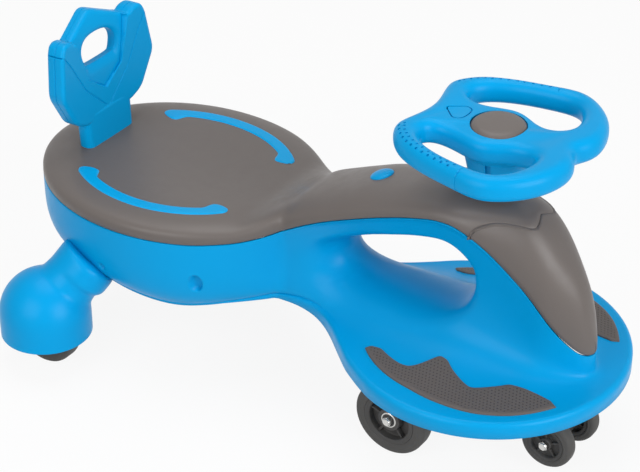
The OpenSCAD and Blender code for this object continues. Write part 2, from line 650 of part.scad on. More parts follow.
// The leg's neck starts inside the bell at a share of its radius, this wide
cone_from_share = 0.45;
cone_wide_share = 0.86;
module leg_cone(gap) translate([0, 0, bell_radius * cone_from_share])
  cylinder(r1 = bell_radius * cone_wide_share + gap, r2 = leg_radius + gap,
    h = spigot_start - bell_radius * cone_from_share + gap);
module rear_leg() color(blue) translate([-rear_wheel_back, -rear_half_track, bell_shoulder]) difference() {
  union() {
    difference() {
      union() {
        bell(bell_radius);
        rotate(leg_turn) {
          leg_cone(0);
          cylinder(r = leg_radius - spigot_step, h = spigot_end);
        }
      }
      translate([0, 0, bell_rim - bell_shoulder - over])
        cylinder(r = bell_radius - bell_wall, h = bell_shoulder - bell_rim + over);
      sphere(r = bell_radius - bell_wall);
      rotate(leg_turn)
        cylinder(r = leg_radius - spigot_step - 2 * bell_wall, h = spigot_end - 2 * sleeve_floor);
    }
    intersection() {
      bell(bell_radius);
      translate([0, 0, road_radius - bell_shoulder]) rotate([90, 0, 0]) difference() {
        cylinder(r = boss_radius, h = 2 * bell_radius, center = true);
        cylinder(r = road_radius, h = road_width + 2 * side_play, center = true);
      }
    }
  }
  translate([0, 0, road_radius - bell_shoulder]) rotate([90, 0, 0])
    cylinder(r = axle_radius + bore_gap, h = pin_length, center = true);
  rotate(leg_turn) cylinder(r = screw_radius, h = leg_length);
}
pin_share = 1.5;
pin_length = pin_share * bell_radius;
module rear_leg_right() rear_leg();
module rear_leg_left() mirror([0, 1, 0]) rear_leg();
module rear_axle_pins() color(steel) both_sides()
  translate([-rear_wheel_back, -rear_half_track, road_radius]) rotate([90, 0, 0])
    cylinder(r = axle_radius, h = pin_length, center = true);

module leg_screws() color(steel) both_sides() at_leg() {
  translate([0, 0, spigot_end - 2 * sleeve_floor])
    cylinder(r = screw_radius, h = 3 * sleeve_floor + seat_clear);
  translate([0, 0, spigot_end + sleeve_floor + seat_clear]) cylinder(r = screw_head, h = sleeve_floor);
}
module cover_screws() color(steel) for (a = post_angles)
  translate([post_x(a), post_y(a), seam_height - post_depth]) {
  cylinder(r = screw_radius, h = post_depth * (1 + thread_share) - wall);
  translate([0, 0, -sleeve_floor]) cylinder(r = screw_head, h = sleeve_floor);
}
module side_screws() color(steel) both_sides() at_side_screw() {
  translate([0, 0, recess_depth]) cylinder(r = screw_radius, h = 2 * recess_depth);
  translate([0, 0, recess_depth - sleeve_floor]) cylinder(r = screw_head, h = sleeve_floor);
}

// Bushes for the steering shaft
module lower_bush() color(dark) translate([column_x, 0, column_foot]) difference() {
  union() {
    cylinder(r = bush_radius, h = bush_length);
    translate([0, 0, -bush_flange]) cylinder(r = column_radius, h = bush_flange);
  }
  translate([0, 0, -over]) cylinder(r = shaft_radius + run_clear, h = bush_length + 2 * over);
}
module upper_bush() color(dark) translate([column_x, 0, collar_top - bush_length]) difference() {
  union() {
    cylinder(r = bush_radius, h = bush_length);
    translate([0, 0, bush_length]) cylinder(r = column_radius, h = bush_flange);
  }
  translate([0, 0, -over]) cylinder(r = shaft_radius + run_clear, h = bush_length + 2 * over);
}

// Steering wheel: half outline and grip opening as shares of its half length and half width
wheel_side_shares = [[-0.83, 0], [-0.97, 0.38], [-0.92, 0.57], [-0.75, 0.71], [-0.55, 0.82], [-0.25, 0.9],
  [0, 0.94], [0.24, 1], [0.44, 0.96], [0.64, 0.85], [0.83, 0.67], [0.95, 0.47], [1, 0.27]];
wheel_front_share = 0.89;
grip_shares = [[-0.68, 0.44], [-0.43, 0.67], [0.04, 0.755], [0.42, 0.8], [0.68, 0.66], [0.67, 0.39],
  [0.36, 0.31], [-0.02, 0.43], [-0.42, 0.34]];
wheel_round = 12;
boss_foot = collar_top + bush_flange + side_play;
boss_foot_radius = 26;
boss_top_radius = 38;
boss_ribs = 8;
boss_rib = 2;
cap_seat = 3;
function wheel_point(q) = [column_x + wheel_half_length * q[0], wheel_half_width * q[1]];
wheel_outline = concat([for (q = wheel_side_shares) wheel_point([q[0], -q[1]])],
  [wheel_point([wheel_front_share, 0])],
  [for (i = [len(wheel_side_shares) - 1 : -1 : 1]) wheel_point(wheel_side_shares[i])]);
wheel_low = wheel_plane - wheel_thick / 2;
wheel_high = wheel_plane + wheel_thick / 2;
module grip_hole() loft(flare_rings(smooth_ring([for (q = grip_shares) wheel_point([q[0], -q[1]])], 2),
  wheel_low, wheel_high, wheel_round, 2));
module steering_wheel() color(blue) difference() {
  union() {
    loft(slab_rings(smooth_ring(wheel_outline, 2), wheel_low, wheel_high, wheel_round, 2));
    translate([column_x, 0, boss_foot])
      cylinder(r1 = boss_foot_radius, r2 = boss_top_radius, h = wheel_plane - boss_foot);
    for (i = [0 : boss_ribs - 1]) translate([column_x, 0, 0]) rotate([0, 0, 360 * i / boss_ribs]) hull() {
      translate([boss_foot_radius, 0, boss_foot]) cylinder(r = boss_rib, h = boss_rib, $fn = 6);
      translate([boss_top_radius + boss_rib, 0, wheel_low]) cylinder(r = boss_rib, h = boss_rib, $fn = 6);
    }
  }
  grip_hole();
  mirror([0, 1, 0]) grip_hole();
  translate([column_x, 0, boss_foot - over])
    cylinder(r = shaft_radius + bore_gap, h = wheel_thick + wheel_plane);
  translate([column_x, 0, wheel_plane]) cylinder(r = 2 * shaft_radius, h = wheel_thick);
  translate([column_x, 0, wheel_high - cap_seat]) cylinder(r = cap_radius + seat_clear, h = over);
}
// Crown of the hub cap in two slopes: shares of its radius and of its crown
cap_crown = 2.5;
cap_slope_shares = [0.86, 0.6];
cap_first_share = 0.6;
cap_base = cap_seat + cap_rise - cap_crown;
module hub_cap() color(grey) translate([column_x, 0, wheel_high - cap_seat]) {
  cylinder(r = cap_radius, h = cap_base);
  translate([0, 0, cap_base])
    cylinder(r1 = cap_radius, r2 = cap_radius * cap_slope_shares[0], h = cap_crown * cap_first_share);
  translate([0, 0, cap_base + cap_crown * cap_first_share])
    cylinder(r1 = cap_radius * cap_slope_shares[0], r2 = cap_radius * cap_slope_shares[1],
      h = cap_crown * (1 - cap_first_share));
}

// Steering shaft with a tapped upper end
washer_thick = 2;
yoke_top = column_foot - bush_flange - washer_thick - seat_clear;
yoke_hub = 17;
yoke_deep = 40;
yoke_foot = yoke_top - yoke_deep;
nut_thick = 5;
nut_flat = 5;
shaft_foot = yoke_foot - nut_thick;
screw_deep = 18;
module steering_shaft() color(steel) translate([column_x, 0, shaft_foot]) difference() {
  cylinder(r = shaft_radius, h = wheel_plane - shaft_foot);
  translate([0, 0, wheel_plane - shaft_foot - screw_deep]) cylinder(r = screw_radius, h = screw_deep + over);
}
module wheel_screw() color(steel) translate([column_x, 0, wheel_plane]) {
  cylinder(r = 2 * screw_head - side_play, h = nut_thick);
  translate([0, 0, -screw_deep]) cylinder(r = screw_radius, h = screw_deep);
}
module hex(flat, bore, thick) difference() {
  cylinder(r = flat / cos(30), h = thick, $fn = 6);
  translate([0, 0, -over]) cylinder(r = bore, h = thick + 2 * over);
}
module thrust_washer() color(steel) translate([column_x, 0, yoke_top]) difference() {
  cylinder(r = yoke_hub, h = washer_thick);
  translate([0, 0, -over]) cylinder(r = shaft_radius, h = washer_thick + 2 * over);
}
module yoke_nut() color(steel) translate([column_x, 0, shaft_foot])
  hex(2 * nut_flat, shaft_radius, nut_thick);

// Front yoke: a hub on the shaft, a beam with two lugs behind it and an arm with one lug ahead of it
beam_high = 18;
beam_thick = 14;
lug_long = 22;
lug_wide = 18;
lug_gap = side_play;
tip_axle_z = tip_clear + tip_radius;
lug_outer = front_half_track - road_width / 2 - lug_gap;
arm_half = tip_half_track - tip_width / 2 - lug_gap;
module front_yoke() color(dark) translate([column_x, 0, 0]) difference() {
  union() {
    translate([0, 0, yoke_foot]) cylinder(r = yoke_hub, h = yoke_deep);
    translate([-trail, -yoke_hub, yoke_foot]) cube([trail, 2 * yoke_hub, beam_thick]);
    translate([-trail - lug_long / 2, -lug_outer, yoke_foot]) cube([lug_long, 2 * lug_outer, beam_high]);
    both_sides() translate([-trail, -lug_outer, road_radius]) rotate([-90, 0, 0])
      cylinder(r = lug_long / 2, h = lug_wide);
    both_sides() translate([-trail - lug_long / 2, -lug_outer, road_radius])
      cube([lug_long, lug_wide, yoke_foot - road_radius + beam_thick]);
    translate([0, -arm_half, yoke_foot]) cube([lead + lug_long / 2, 2 * arm_half, beam_thick]);
    translate([lead, arm_half, tip_axle_z]) rotate([90, 0, 0]) cylinder(r = lug_long / 2, h = 2 * arm_half);
    translate([lead - lug_long / 2, -arm_half, tip_axle_z])
      cube([lug_long, 2 * arm_half, yoke_foot - tip_axle_z + beam_thick]);
  }
  translate([0, 0, yoke_foot - over]) cylinder(r = shaft_radius, h = yoke_deep + 2 * over);
  translate([-trail, plate_radius, road_radius]) rotate([90, 0, 0])
    cylinder(r = axle_radius, h = 2 * plate_radius);
  translate([lead, plate_radius, tip_axle_z]) rotate([90, 0, 0])
    cylinder(r = axle_radius, h = 2 * plate_radius);
}

// Axle bolts and their lock nuts
bolt_in = lug_outer - lug_wide;
bolt_out = front_half_track + road_width / 2 + side_play;
module front_axle_bolts() color(steel) both_sides()
  translate([column_x - trail, -bolt_in, road_radius]) rotate([90, 0, 0]) {
  cylinder(r = axle_radius, h = bolt_out - bolt_in + nut_thick);
  translate([0, 0, -nut_thick]) cylinder(r = nut_flat / cos(30), h = nut_thick, $fn = 6);
}
module front_axle_nuts() color(steel) both_sides()
  translate([column_x - trail, -bolt_out, road_radius]) rotate([90, 0, 0])
    hex(nut_flat, axle_radius, nut_thick);
tip_out = tip_half_track + tip_width / 2 + side_play;
module tip_axle_bolt() color(steel)
  translate([column_x + lead, tip_out, tip_axle_z]) rotate([90, 0, 0]) {
  cylinder(r = axle_radius, h = 2 * tip_out + nut_thick);
  translate([0, 0, -nut_thick]) cylinder(r = nut_flat / cos(30), h = nut_thick, $fn = 6);
}
module tip_axle_nut() color(steel)
  translate([column_x + lead, -tip_out, tip_axle_z]) rotate([90, 0, 0]) hex(nut_flat, axle_radius, nut_thick);

// Wheels, drawn about their own axle
tyre_share = 0.7;
tread_round = 3;
bearing_radius = 9.5;
bearing_width = 6;
hub_wall = 4;
web_thick = 4;
spoke_count = 5;
spoke_thick = 3;
rim_wall = 3;
recess_share = 0.72;
module tyre(radius, width) rotate([90, 0, 0]) rotate_extrude() polygon([
  [radius * tyre_share, -width / 2], [radius - tread_round, -width / 2], [radius, tread_round - width / 2],
  [radius, width / 2 - tread_round], [radius - tread_round, width / 2], [radius * tyre_share, width / 2]]);
module core(radius, width, bore) rotate([90, 0, 0]) difference() {
  union() {
    difference() {
      cylinder(r = radius * tyre_share, h = width, center = true);
      cylinder(r = radius * tyre_share - rim_wall, h = width + over, center = true);
    }
    cylinder(r = radius * tyre_share, h = web_thick, center = true);
    cylinder(r = bore + hub_wall, h = width, center = true);
    for (i = [0 : spoke_count - 1]) rotate([0, 0, 360 * i / spoke_count])
      translate([0, -spoke_thick / 2, -width * recess_share / 2])
        cube([radius * tyre_share, spoke_thick, width * recess_share]);
  }
  cylinder(r = bore, h = width + over, center = true);
}
module bearings(width) rotate([90, 0, 0]) for (s = [-1, 1])
  translate([0, 0, s * (width - bearing_width) / 2]) difference() {
    cylinder(r = bearing_radius, h = bearing_width, center = true);
    cylinder(r = axle_radius + run_clear, h = bearing_width + over, center = true);
  }
module at_front() translate([column_x - trail, -front_half_track, road_radius]) children();
module at_rear() translate([-rear_wheel_back, -rear_half_track, road_radius]) children();
module at_tip() translate([column_x + lead, -tip_half_track, tip_axle_z]) children();
module road_tyre() color(dark) tyre(road_radius, road_width);
module road_core() color(grey) core(road_radius, road_width, bearing_radius);
module road_bearings() color(steel) bearings(road_width);
module tip_tyre() color(dark) tyre(tip_radius, tip_width);
module tip_core() color(grey) core(tip_radius, tip_width, axle_radius + run_clear);

module front_tyre_right() at_front() road_tyre();
module front_core_right() at_front() road_core();
module front_bearings_right() at_front() road_bearings();
module front_tyre_left() mirror([0, 1, 0]) front_tyre_right();
module front_core_left() mirror([0, 1, 0]) front_core_right();
module front_bearings_left() mirror([0, 1, 0]) front_bearings_right();
module rear_tyre_right() at_rear() road_tyre();
module rear_core_right() at_rear() road_core();
module rear_bearings_right() at_rear() road_bearings();
module rear_tyre_left() mirror([0, 1, 0]) rear_tyre_right();
module rear_core_left() mirror([0, 1, 0]) rear_core_right();
module rear_bearings_left() mirror([0, 1, 0]) rear_bearings_right();
module tip_tyre_right() at_tip() tip_tyre();
module tip_core_right() at_tip() tip_core();
module tip_tyre_left() mirror([0, 1, 0]) tip_tyre_right();
module tip_core_left() mirror([0, 1, 0]) tip_core_right();

body_shell();
seat_cover();
nose_cover();
seat_stripe_right();
seat_stripe_left();
backrest();
neck_plug();
foot_pad_right();
foot_pad_left();
rear_leg_right();
rear_leg_left();
leg_screws();
cover_screws();
side_screws();
backrest_pin();
rear_axle_pins();
lower_bush();
upper_bush();
steering_wheel();
hub_cap();
steering_shaft();
wheel_screw();
thrust_washer();
front_yoke();
yoke_nut();
front_axle_bolts();
front_axle_nuts();
tip_axle_bolt();
tip_axle_nut();
front_tyre_right();
front_core_right();
front_bearings_right();
front_tyre_left();
front_core_left();
front_bearings_left();
tip_tyre_right();
tip_core_right();
tip_tyre_left();
tip_core_left();
rear_tyre_right();
rear_core_right();
rear_bearings_right();
rear_tyre_left();
rear_core_left();
rear_bearings_left();
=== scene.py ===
"""Finished looks of the wiggle car: smooth shells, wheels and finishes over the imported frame."""

import math

import bmesh
import bpy
import numpy as np
from bpy.props import FloatProperty, FloatVectorProperty, PointerProperty
from bpy.types import Operator, Panel, PropertyGroup
from mathutils import Matrix, Vector
from mathutils.bvhtree import BVHTree


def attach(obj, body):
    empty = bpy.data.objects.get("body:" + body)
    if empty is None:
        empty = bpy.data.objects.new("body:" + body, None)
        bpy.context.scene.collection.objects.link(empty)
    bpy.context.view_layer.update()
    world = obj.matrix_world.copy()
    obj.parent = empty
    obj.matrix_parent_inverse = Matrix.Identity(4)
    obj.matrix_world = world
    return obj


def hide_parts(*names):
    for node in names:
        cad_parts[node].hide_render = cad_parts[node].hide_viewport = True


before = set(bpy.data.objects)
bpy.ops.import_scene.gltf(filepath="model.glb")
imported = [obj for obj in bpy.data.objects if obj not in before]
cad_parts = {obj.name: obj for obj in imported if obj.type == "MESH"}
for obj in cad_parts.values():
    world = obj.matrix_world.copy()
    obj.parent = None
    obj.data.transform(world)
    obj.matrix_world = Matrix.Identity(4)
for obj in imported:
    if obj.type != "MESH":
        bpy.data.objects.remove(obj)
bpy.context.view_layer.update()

bl_info = {
    "name": "Wiggle Car",
    "version": (1, 0, 0),
    "blender": (4, 5, 0),
    "location": "3D View > Sidebar > Wiggle Car",
    "description": "Builds the finished looks of a wiggle car over its frame",
    "category": "Object",
}

MM = 0.001

# Main sizes of the shells in millimetres, close to and inside those of the frame
SEAT_X, SEAT_A, SEAT_B = -198.0, 179.5, 146.0
SEAM, CROWN, DISH, TAPER, TUB_LIP, WAIST_RISE = 195.0, 22.0, 6.0, 20.0, 103.0, 14.0
NECK_HALF, RIDGE_TOP, NECK_SEAM = 58.0, 312.0, 290.0
NECK_START, NOSE_END = -99.0, 361.0
COLUMN_X, PLATE_R, PLATE_LIP, RIM_HIGH, RIM_ROUND = 218.0, 159.5, 105.0, 20.0, 6.0
PINCH, TUB_RISE = 28.0, 9.0
NOSE_FROM, NOSE_TIP = 255.0, 348.5
WHEEL_MID, WHEEL_THICK = 378.5, 29.0


class Guide:
    """A short table of shares read as one smooth line."""

    def __init__(self, table, spread):
        at = np.linspace(table[0][0] - 0.5, table[-1][0] + 0.5, 3001)
        raw = np.interp(at, [p[0] for p in table], [p[1] for p in table])
        step = at[1] - at[0]
        reach = int(3 * spread / step) + 1
        weight = np.exp(-0.5 * (np.arange(-reach, reach + 1) * step / spread) ** 2)
        self.at = at
        self.value = np.convolve(np.pad(raw, reach, mode="edge"), weight / weight.sum(), mode="valid")

    def __call__(self, u):
        return float(np.interp(u, self.at, self.value))


# Lines of the neck, as shares of its length and of its own sizes
RIDGE = Guide([(0.077, 0), (0.12, 0.08), (0.154, 0.18), (0.203, 0.37), (0.257, 0.485), (0.37, 0.715),
               (0.504, 0.905), (0.592, 0.98), (0.697, 1), (0.765, 0.99), (0.807, 0.94), (0.84, 0.81),
               (0.862, 0.685), (0.886, 0.52), (0.926, 0.24), (0.945, 0.07), (0.96, -0.15), (0.97, -0.45),
               (0.974, -0.7), (0.98, -0.75)], 0.012)
SEAM_LINE = Guide([(0, 0), (0.087, 0.025), (0.124, 0.065), (0.16, 0.12), (0.196, 0.22), (0.235, 0.335),
                   (0.291, 0.475), (0.345, 0.59), (0.428, 0.75), (0.51, 0.885), (0.59, 0.99), (0.643, 1),
                   (0.69, 0.9), (0.735, 0.76), (0.78, 0.58), (0.82, 0.41), (0.853, 0.24), (0.885, 0.02),
                   (0.92, -0.2), (0.945, -0.33), (0.96, -0.41), (0.973, -0.45)], 0.015)
WIDTH = Guide([(-0.61, -3), (-0.1, 0.9), (0.2, 1.03), (0.35, 1), (0.5, 0.95), (0.65, 0.93), (0.74, 0.82),
               (0.83, 0.73), (0.88, 0.66), (0.92, 0.56), (0.95, 0.5), (1, 0.5)], 0.02)
SQUARE = Guide([(-0.05, 5), (0.1, 3), (0.22, 2.4), (0.6, 2.5), (0.8, 2.8), (0.95, 2.3)], 0.03)
PINCH_LINE = Guide([(0.1, 0), (0.2, 0.3), (0.35, 0.9), (0.6, 1), (0.7, 0.6), (0.85, 0.25), (1, 0)], 0.02)
PLATE_PART = Guide([(-0.05, 0), (0.32, 1)], 0.05)
WAIST = Guide([(-0.05, 0), (0.09, 0.6), (0.157, 0.8), (0.226, 1), (0.265, 0.75), (0.33, 0.2), (0.4, 0)], 0.03)
LIP = Guide([(-3.6, -4), (-2, 0.33), (-1.36, 0.36), (-1.2, 0.375), (-1.09, 0.415), (-0.975, 0.495),
             (-0.844, 0.61), (-0.69, 0.745), (-0.5, 0.866), (-0.4, 0.917)], 0.035)
# Rear edge of the nose cover: distance along against the share of the half width
NOSE_EDGE = Guide([(-0.25, 278), (0, 273.6), (0.25, 278), (0.45, 279), (0.575, 273.6), (0.65, 264), (0.714, 253),
                   (0.78, 240), (0.877, 230), (1, 217), (1.1, 207)], 0.022)


def neck(x):
    return (x - NECK_START) / (NOSE_END - NECK_START)


def smooth(u):
    u = min(max(u, 0.0), 1.0)
    return u * u * (3 - 2 * u)


def widest(a, b, k=60.0):
    """The larger of two half widths, blended where they are close."""
    return max(a, b) + max(k - abs(a - b), 0.0) ** 2 / (4 * k)


def oval(x, c, a, b):
    """Half width of an oval at x, which goes on falling past its ends."""
    return b * math.sqrt(1 - ((x - c) / a) ** 2) if abs(x - c) < a else -2 * (abs(x - c) - a)


def ridge_z(x):
    rear = min(max((SEAT_X - x) / SEAT_A, 0.0), 1.0)
    return SEAM + CROWN * (1 - rear ** 5) ** 0.2 + (RIDGE_TOP - SEAM - CROWN) * RIDGE(neck(x))


def seam_z(x):
    return SEAM + (NECK_SEAM - SEAM) * SEAM_LINE(neck(x))


def lip_half(x):
    u = (x - COLUMN_X) / PLATE_R
    plate = math.sqrt(max(1 - u * u, 0)) if u > -0.45 else LIP(u)
    return widest(oval(x, SEAT_X + 0.45 * TAPER, SEAT_A - TAPER, SEAT_B - TAPER), PLATE_R * plate)


def seam_half(x):
    half = widest(oval(x, SEAT_X, SEAT_A, SEAT_B), NECK_HALF * WIDTH(neck(x)))
    if x > 290:
        half *= math.sqrt(max(1 - ((x - 290) / (NOSE_TIP - 290)) ** 2.6, 0.0))
    return half


def lip_z(x):
    rear = TUB_RISE * smooth((-130 - x) / 150)
    return TUB_LIP + (PLATE_LIP - TUB_LIP) * PLATE_PART(neck(x)) + WAIST_RISE * WAIST(neck(x)) + rear


def rim_z(x):
    return lip_z(x) + 1.5 + (RIM_HIGH - 1.5) * PLATE_PART(neck(x)) ** 2


def dish(x, y):
    inside = 1 - ((x - SEAT_X) / (SEAT_A * 0.86)) ** 2 - (y / (SEAT_B * 0.86)) ** 2
    return DISH * max(inside, 0.0) ** 1.5


def seat_z(x, y):
    """Height of the seat's surface."""
    if x < SEAT_X:
        rho = math.hypot((x - SEAT_X) / SEAT_A, y / SEAT_B)
        return SEAM + CROWN * max(1 - rho ** 5, 0.0) ** 0.2 - dish(x, y)
    return cover_point(x, abs(y) / seam_half(x)).z


def halved(below, low, high, rounds):
    """Closes in on the place where a test stops being true, and gives the values on either side of it."""
    for _ in range(rounds):
        middle = (low + high) / 2
        low, high = (middle, high) if below(middle) else (low, middle)
    return low, high


class Side:
    """One upright slice of the blue shell, from the seam down to the lower lip."""

    def __init__(self, seam, lip, out, x):
        self.seam, self.lip, self.out = Vector(seam), Vector(lip), Vector(out)
        self.part = PLATE_PART(neck(x))
        self.top, self.rim, self.foot = seam_z(x), rim_z(x), lip_z(x)
        self.round = 0.5 + (RIM_ROUND - 0.5) * self.part ** 2
        self.pinch = PINCH * PINCH_LINE(neck(x)) * min(abs(self.seam.y) / NECK_HALF, 1.2)

    def at(self, v):
        """Point of the outer face at share v of the drop from seam to rim."""
        v = min(max(v, 0.0), 1.0)
        sweep = self.sweep(v)
        inner = self.lip - self.out * self.round
        flat = self.seam + (inner - self.seam) * sweep - self.out * (self.pinch * math.sin(math.pi * v))
        return Vector((flat.x, flat.y, self.top + (self.rim - self.top) * v))

    def sweep(self, v):
        """Share of the way from the seam out to the rim at share v of the drop."""
        return self.part * (1 - math.sqrt(max(1 - v ** 11, 0.0))) + (1 - self.part) * v ** 5

    def swept(self, sweep):
        """Point of the outer face at a share of the way out."""
        return self.at(halved(lambda v: self.sweep(v) < sweep, 0.0, 1.0, 26)[1])


def rear_side(beta):
    c, s = math.cos(beta), math.sin(beta)
    out = Vector((-c / SEAT_A, s / SEAT_B)).normalized()
    seam = (SEAT_X - SEAT_A * c, SEAT_B * s)
    lip = (SEAT_X + 0.45 * TAPER - (SEAT_A - TAPER) * c, (SEAT_B - TAPER) * s)
    return Side(seam, lip, out, seam[0])


def middle_side(x):
    ahead = 0.45 * TAPER * (1 - smooth((x - SEAT_X) / 140))
    return Side((x, seam_half(x)), (x + ahead, lip_half(x + ahead)), (0, 1), x)


def front_side(phi, first):
    g = (math.cos(phi) - math.cos(first)) / (1 - math.cos(first))
    x = NOSE_FROM + (NOSE_TIP - NOSE_FROM) * g
    out = Vector((math.cos(phi), math.sin(phi)))
    turn = smooth((first - phi) / 0.5)
    out = (out * turn + Vector((0, 1)) * (1 - turn)).normalized()
    lip = (COLUMN_X + PLATE_R * math.cos(phi), PLATE_R * math.sin(phi))
    return Side((x, seam_half(x)), lip, out, x)


# Columns of the shell's sheet: round the tub's rear, and the first and last beside the arch opening
REAR_COLUMNS, ARCH_FIRST, ARCH_LAST = 30, 63, 128


def shell_sides():
    """Slices of the shell's right half, from the rear round to the nose."""
    first = math.acos((NOSE_FROM - COLUMN_X) / PLATE_R)
    xs = np.concatenate([np.linspace(SEAT_X, -14, 34)[:-1], np.linspace(-14, 246, 66), [NOSE_FROM]])
    rear = [rear_side(math.pi / 2 * i / REAR_COLUMNS) for i in range(REAR_COLUMNS)]
    front = [front_side(first * (1 - i / 34), first) for i in range(1, 35)]
    return rear + [middle_side(float(x)) for x in xs] + front


# Opening under the neck, as shares of its half length and half height
ARCH = [(-1, -0.33), (-0.96, -0.06), (-0.83, 0.13), (-0.7, 0.24), (-0.37, 0.52), (0, 0.78), (0.36, 0.96),
        (0.67, 1), (0.94, 0.69), (1, 0.31), (0.99, -0.09), (0.907, -0.43), (0.742, -0.68), (0.433, -0.88),
        (0.02, -0.95), (-0.34, -0.94), (-0.7, -0.89), (-0.918, -0.69)]
ARCH_X, ARCH_Z, ARCH_LONG, ARCH_HIGH, ARCH_GAUGE = 123.0, 203.0, 97.0, 54.0, 40.0


def closed_curve(points, steps, spread):
    """A closed smooth curve near a few points, as an array."""
    p = np.array(points, float)
    out = []
    for i in range(len(p)):
        a, b, c, d = p[i - 1], p[i], p[(i + 1) % len(p)], p[(i + 2) % len(p)]
        for u in np.arange(steps) / steps:
            out.append(0.5 * (2 * b + (c - a) * u + (2 * a - 5 * b + 4 * c - d) * u ** 2
                              + (3 * b - a - 3 * c + d) * u ** 3))
    reach = int(3 * spread)
    weight = np.exp(-0.5 * (np.arange(-reach, reach + 1) / spread) ** 2)
    weight /= weight.sum()
    return sum(w * np.roll(np.array(out), k, axis=0) for k, w in zip(range(-reach, reach + 1), weight))


def arch_point(q, s):
    """Point of the opening's wall for a share pair q, s gauges from the middle."""
    front, rear = 0.907 + 0.093 * s * s, 0.876 + 0.124 * s * s
    top, floor = 0.83 + 0.17 * s * s, 0.853 + 0.147 * s * s
    return Vector((ARCH_X + q[0] * ARCH_LONG * (front if q[0] > 0 else rear), s * ARCH_GAUGE,
                   ARCH_Z + q[1] * ARCH_HIGH * (top if q[1] > 0 else floor)))


def new_piece(name, bm, body, slot, material, nodes, sharp=None):
    """Turns a bmesh in millimetres into a finished piece in metres that rides on a body."""
    bmesh.ops.scale(bm, vec=(MM, MM, MM), verts=bm.verts)
    mesh = bpy.data.meshes.new(name)
    for face in bm.faces:
        face.smooth = True
    bm.to_mesh(mesh)
    bm.free()
    piece = bpy.data.objects.new(name, mesh)
    bpy.context.scene.collection.objects.link(piece)
    mesh.materials.append(material)
    if sharp:
        mesh.set_sharp_from_angle(angle=math.radians(sharp))
    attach(piece, body)
    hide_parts(*nodes)
    return piece


def outwards(bm, score):
    """Recalculates the normals of an open sheet and turns them so that the faces' scores add up above nothing."""
    bmesh.ops.remove_doubles(bm, verts=bm.verts, dist=1e-4)
    bmesh.ops.recalc_face_normals(bm, faces=bm.faces)
    bm.normal_update()
    if sum(score(f) * f.calc_area() for f in bm.faces) < 0:
        bmesh.ops.reverse_faces(bm, faces=bm.faces)


def whole(bm):
    return bm.verts[:] + bm.edges[:] + bm.faces[:]


def mirrored(bm, score):
    """The right half of a sheet with its mirror image, its faces turned outwards."""
    bmesh.ops.mirror(bm, geom=whole(bm), axis="Y", merge_dist=0.02)
    outwards(bm, score)
    return bm


def sheet(columns, rows, place):
    """A grid set in place by a rule, and its vertices by column and row."""
    bm, grid = bmesh.new(), {}
    bmesh.ops.create_grid(bm, x_segments=columns - 1, y_segments=rows - 1, size=0.5)
    for v in bm.verts:
        spot = round((v.co.x + 0.5) * (columns - 1)), round((v.co.y + 0.5) * (rows - 1))
        v.co = place(*spot)
        grid[spot] = v
    return bm, grid


def wall(piece, thick):
    """Gives a sheet its wall, inwards, with a thickness in metres."""
    solid = piece.modifiers.new("wall", "SOLIDIFY")
    solid.thickness, solid.offset, solid.use_quality_normals = thick, -1.0, True


def next_loop(bm, ring, places):
    """Extrudes a closed ring of vertices once and sets the new ring in place."""
    edges = [bm.edges.get((ring[i - 1], ring[i])) for i in range(len(ring))]
    made = {g for g in bmesh.ops.extrude_edge_only(bm, edges=edges)["geom"] if isinstance(g, bmesh.types.BMVert)}
    fresh = []
    for v, p in zip(ring, places):
        other = next(e.other_vert(v) for e in v.link_edges if e.other_vert(v) in made)
        other.co = p
        fresh.append(other)
    return fresh


# Recesses in the tub's side: place along and up, half length, half height and depth
RECESSES = [((-96.0, 144.0), 6.5, 11.0, 8.0), ((-212.0, 138.0), 3.6, 4.6, 4.0)]


def dented(bm, at, long, high, depth):
    """An oval recess pressed into the right side wall."""
    def rho(p):
        return math.hypot((p.x - at[0]) / long, (p.z - at[1]) / high)

    near = [f for f in bm.faces if rho(f.calc_center_median()) < 2.2 and f.calc_center_median().y < -80]
    bmesh.ops.subdivide_edges(bm, edges=list({e for f in near for e in f.edges}), cuts=4, use_grid_fill=True)
    for v in bm.verts:
        if v.co.y < -80 and rho(v.co) < 1.15:
            v.co.y += depth * smooth((1.15 - rho(v.co)) / 0.5)


# Rolled edge at a seam: inset of each row, and its distance below the seam on the shell or above it on a cover
ROLL = [(4.0, 0.5), (1.3, 0.5), (0.4, 0.8), (0.08, 1.3)]
# Rows below it: down the wall to a share of the drop, across to the rim, round the rim and under the lip
DOWN, DOWN_SHARE, ACROSS, ROUND, UNDER = 17, 0.8, 16, 6, 4


def shell_point(side, row, narrow):
    """Point in one row of a slice; the rolled edge of a narrow slice stays clear of the middle."""
    below = row - len(ROLL)
    across, rounded = below - DOWN, below - DOWN - ACROSS
    if below < 0:
        inset, drop = ROLL[row]
        inset = min(inset, abs(side.seam.y) * 0.6 + 0.1) if narrow else inset
        flat, z = side.seam - side.out * inset, side.top - drop
    elif rounded < 0:
        if across < 0:
            start = 1.9 / (side.top - side.rim)
            flat = side.at(start + below / (DOWN - 1) * (DOWN_SHARE - start))
        else:
            begin = side.sweep(DOWN_SHARE)
            flat = side.swept(begin + (1 - begin) * (across + 1) / ACROSS)
        z = flat.z
    elif rounded < ROUND:
        a = math.pi / 2 * (rounded + 1) / ROUND
        flat = side.lip - side.out * side.round + side.out * (side.round * math.sin(a))
        z = side.rim - side.round * (1 - math.cos(a))
    else:
        k = (rounded - ROUND) * 0.33
        flat, z = side.lip - side.out * (0.9 * k), side.foot + 0.6 * (1 - k)
    return Vector((flat.x, -max(flat.y, 0.0), z))


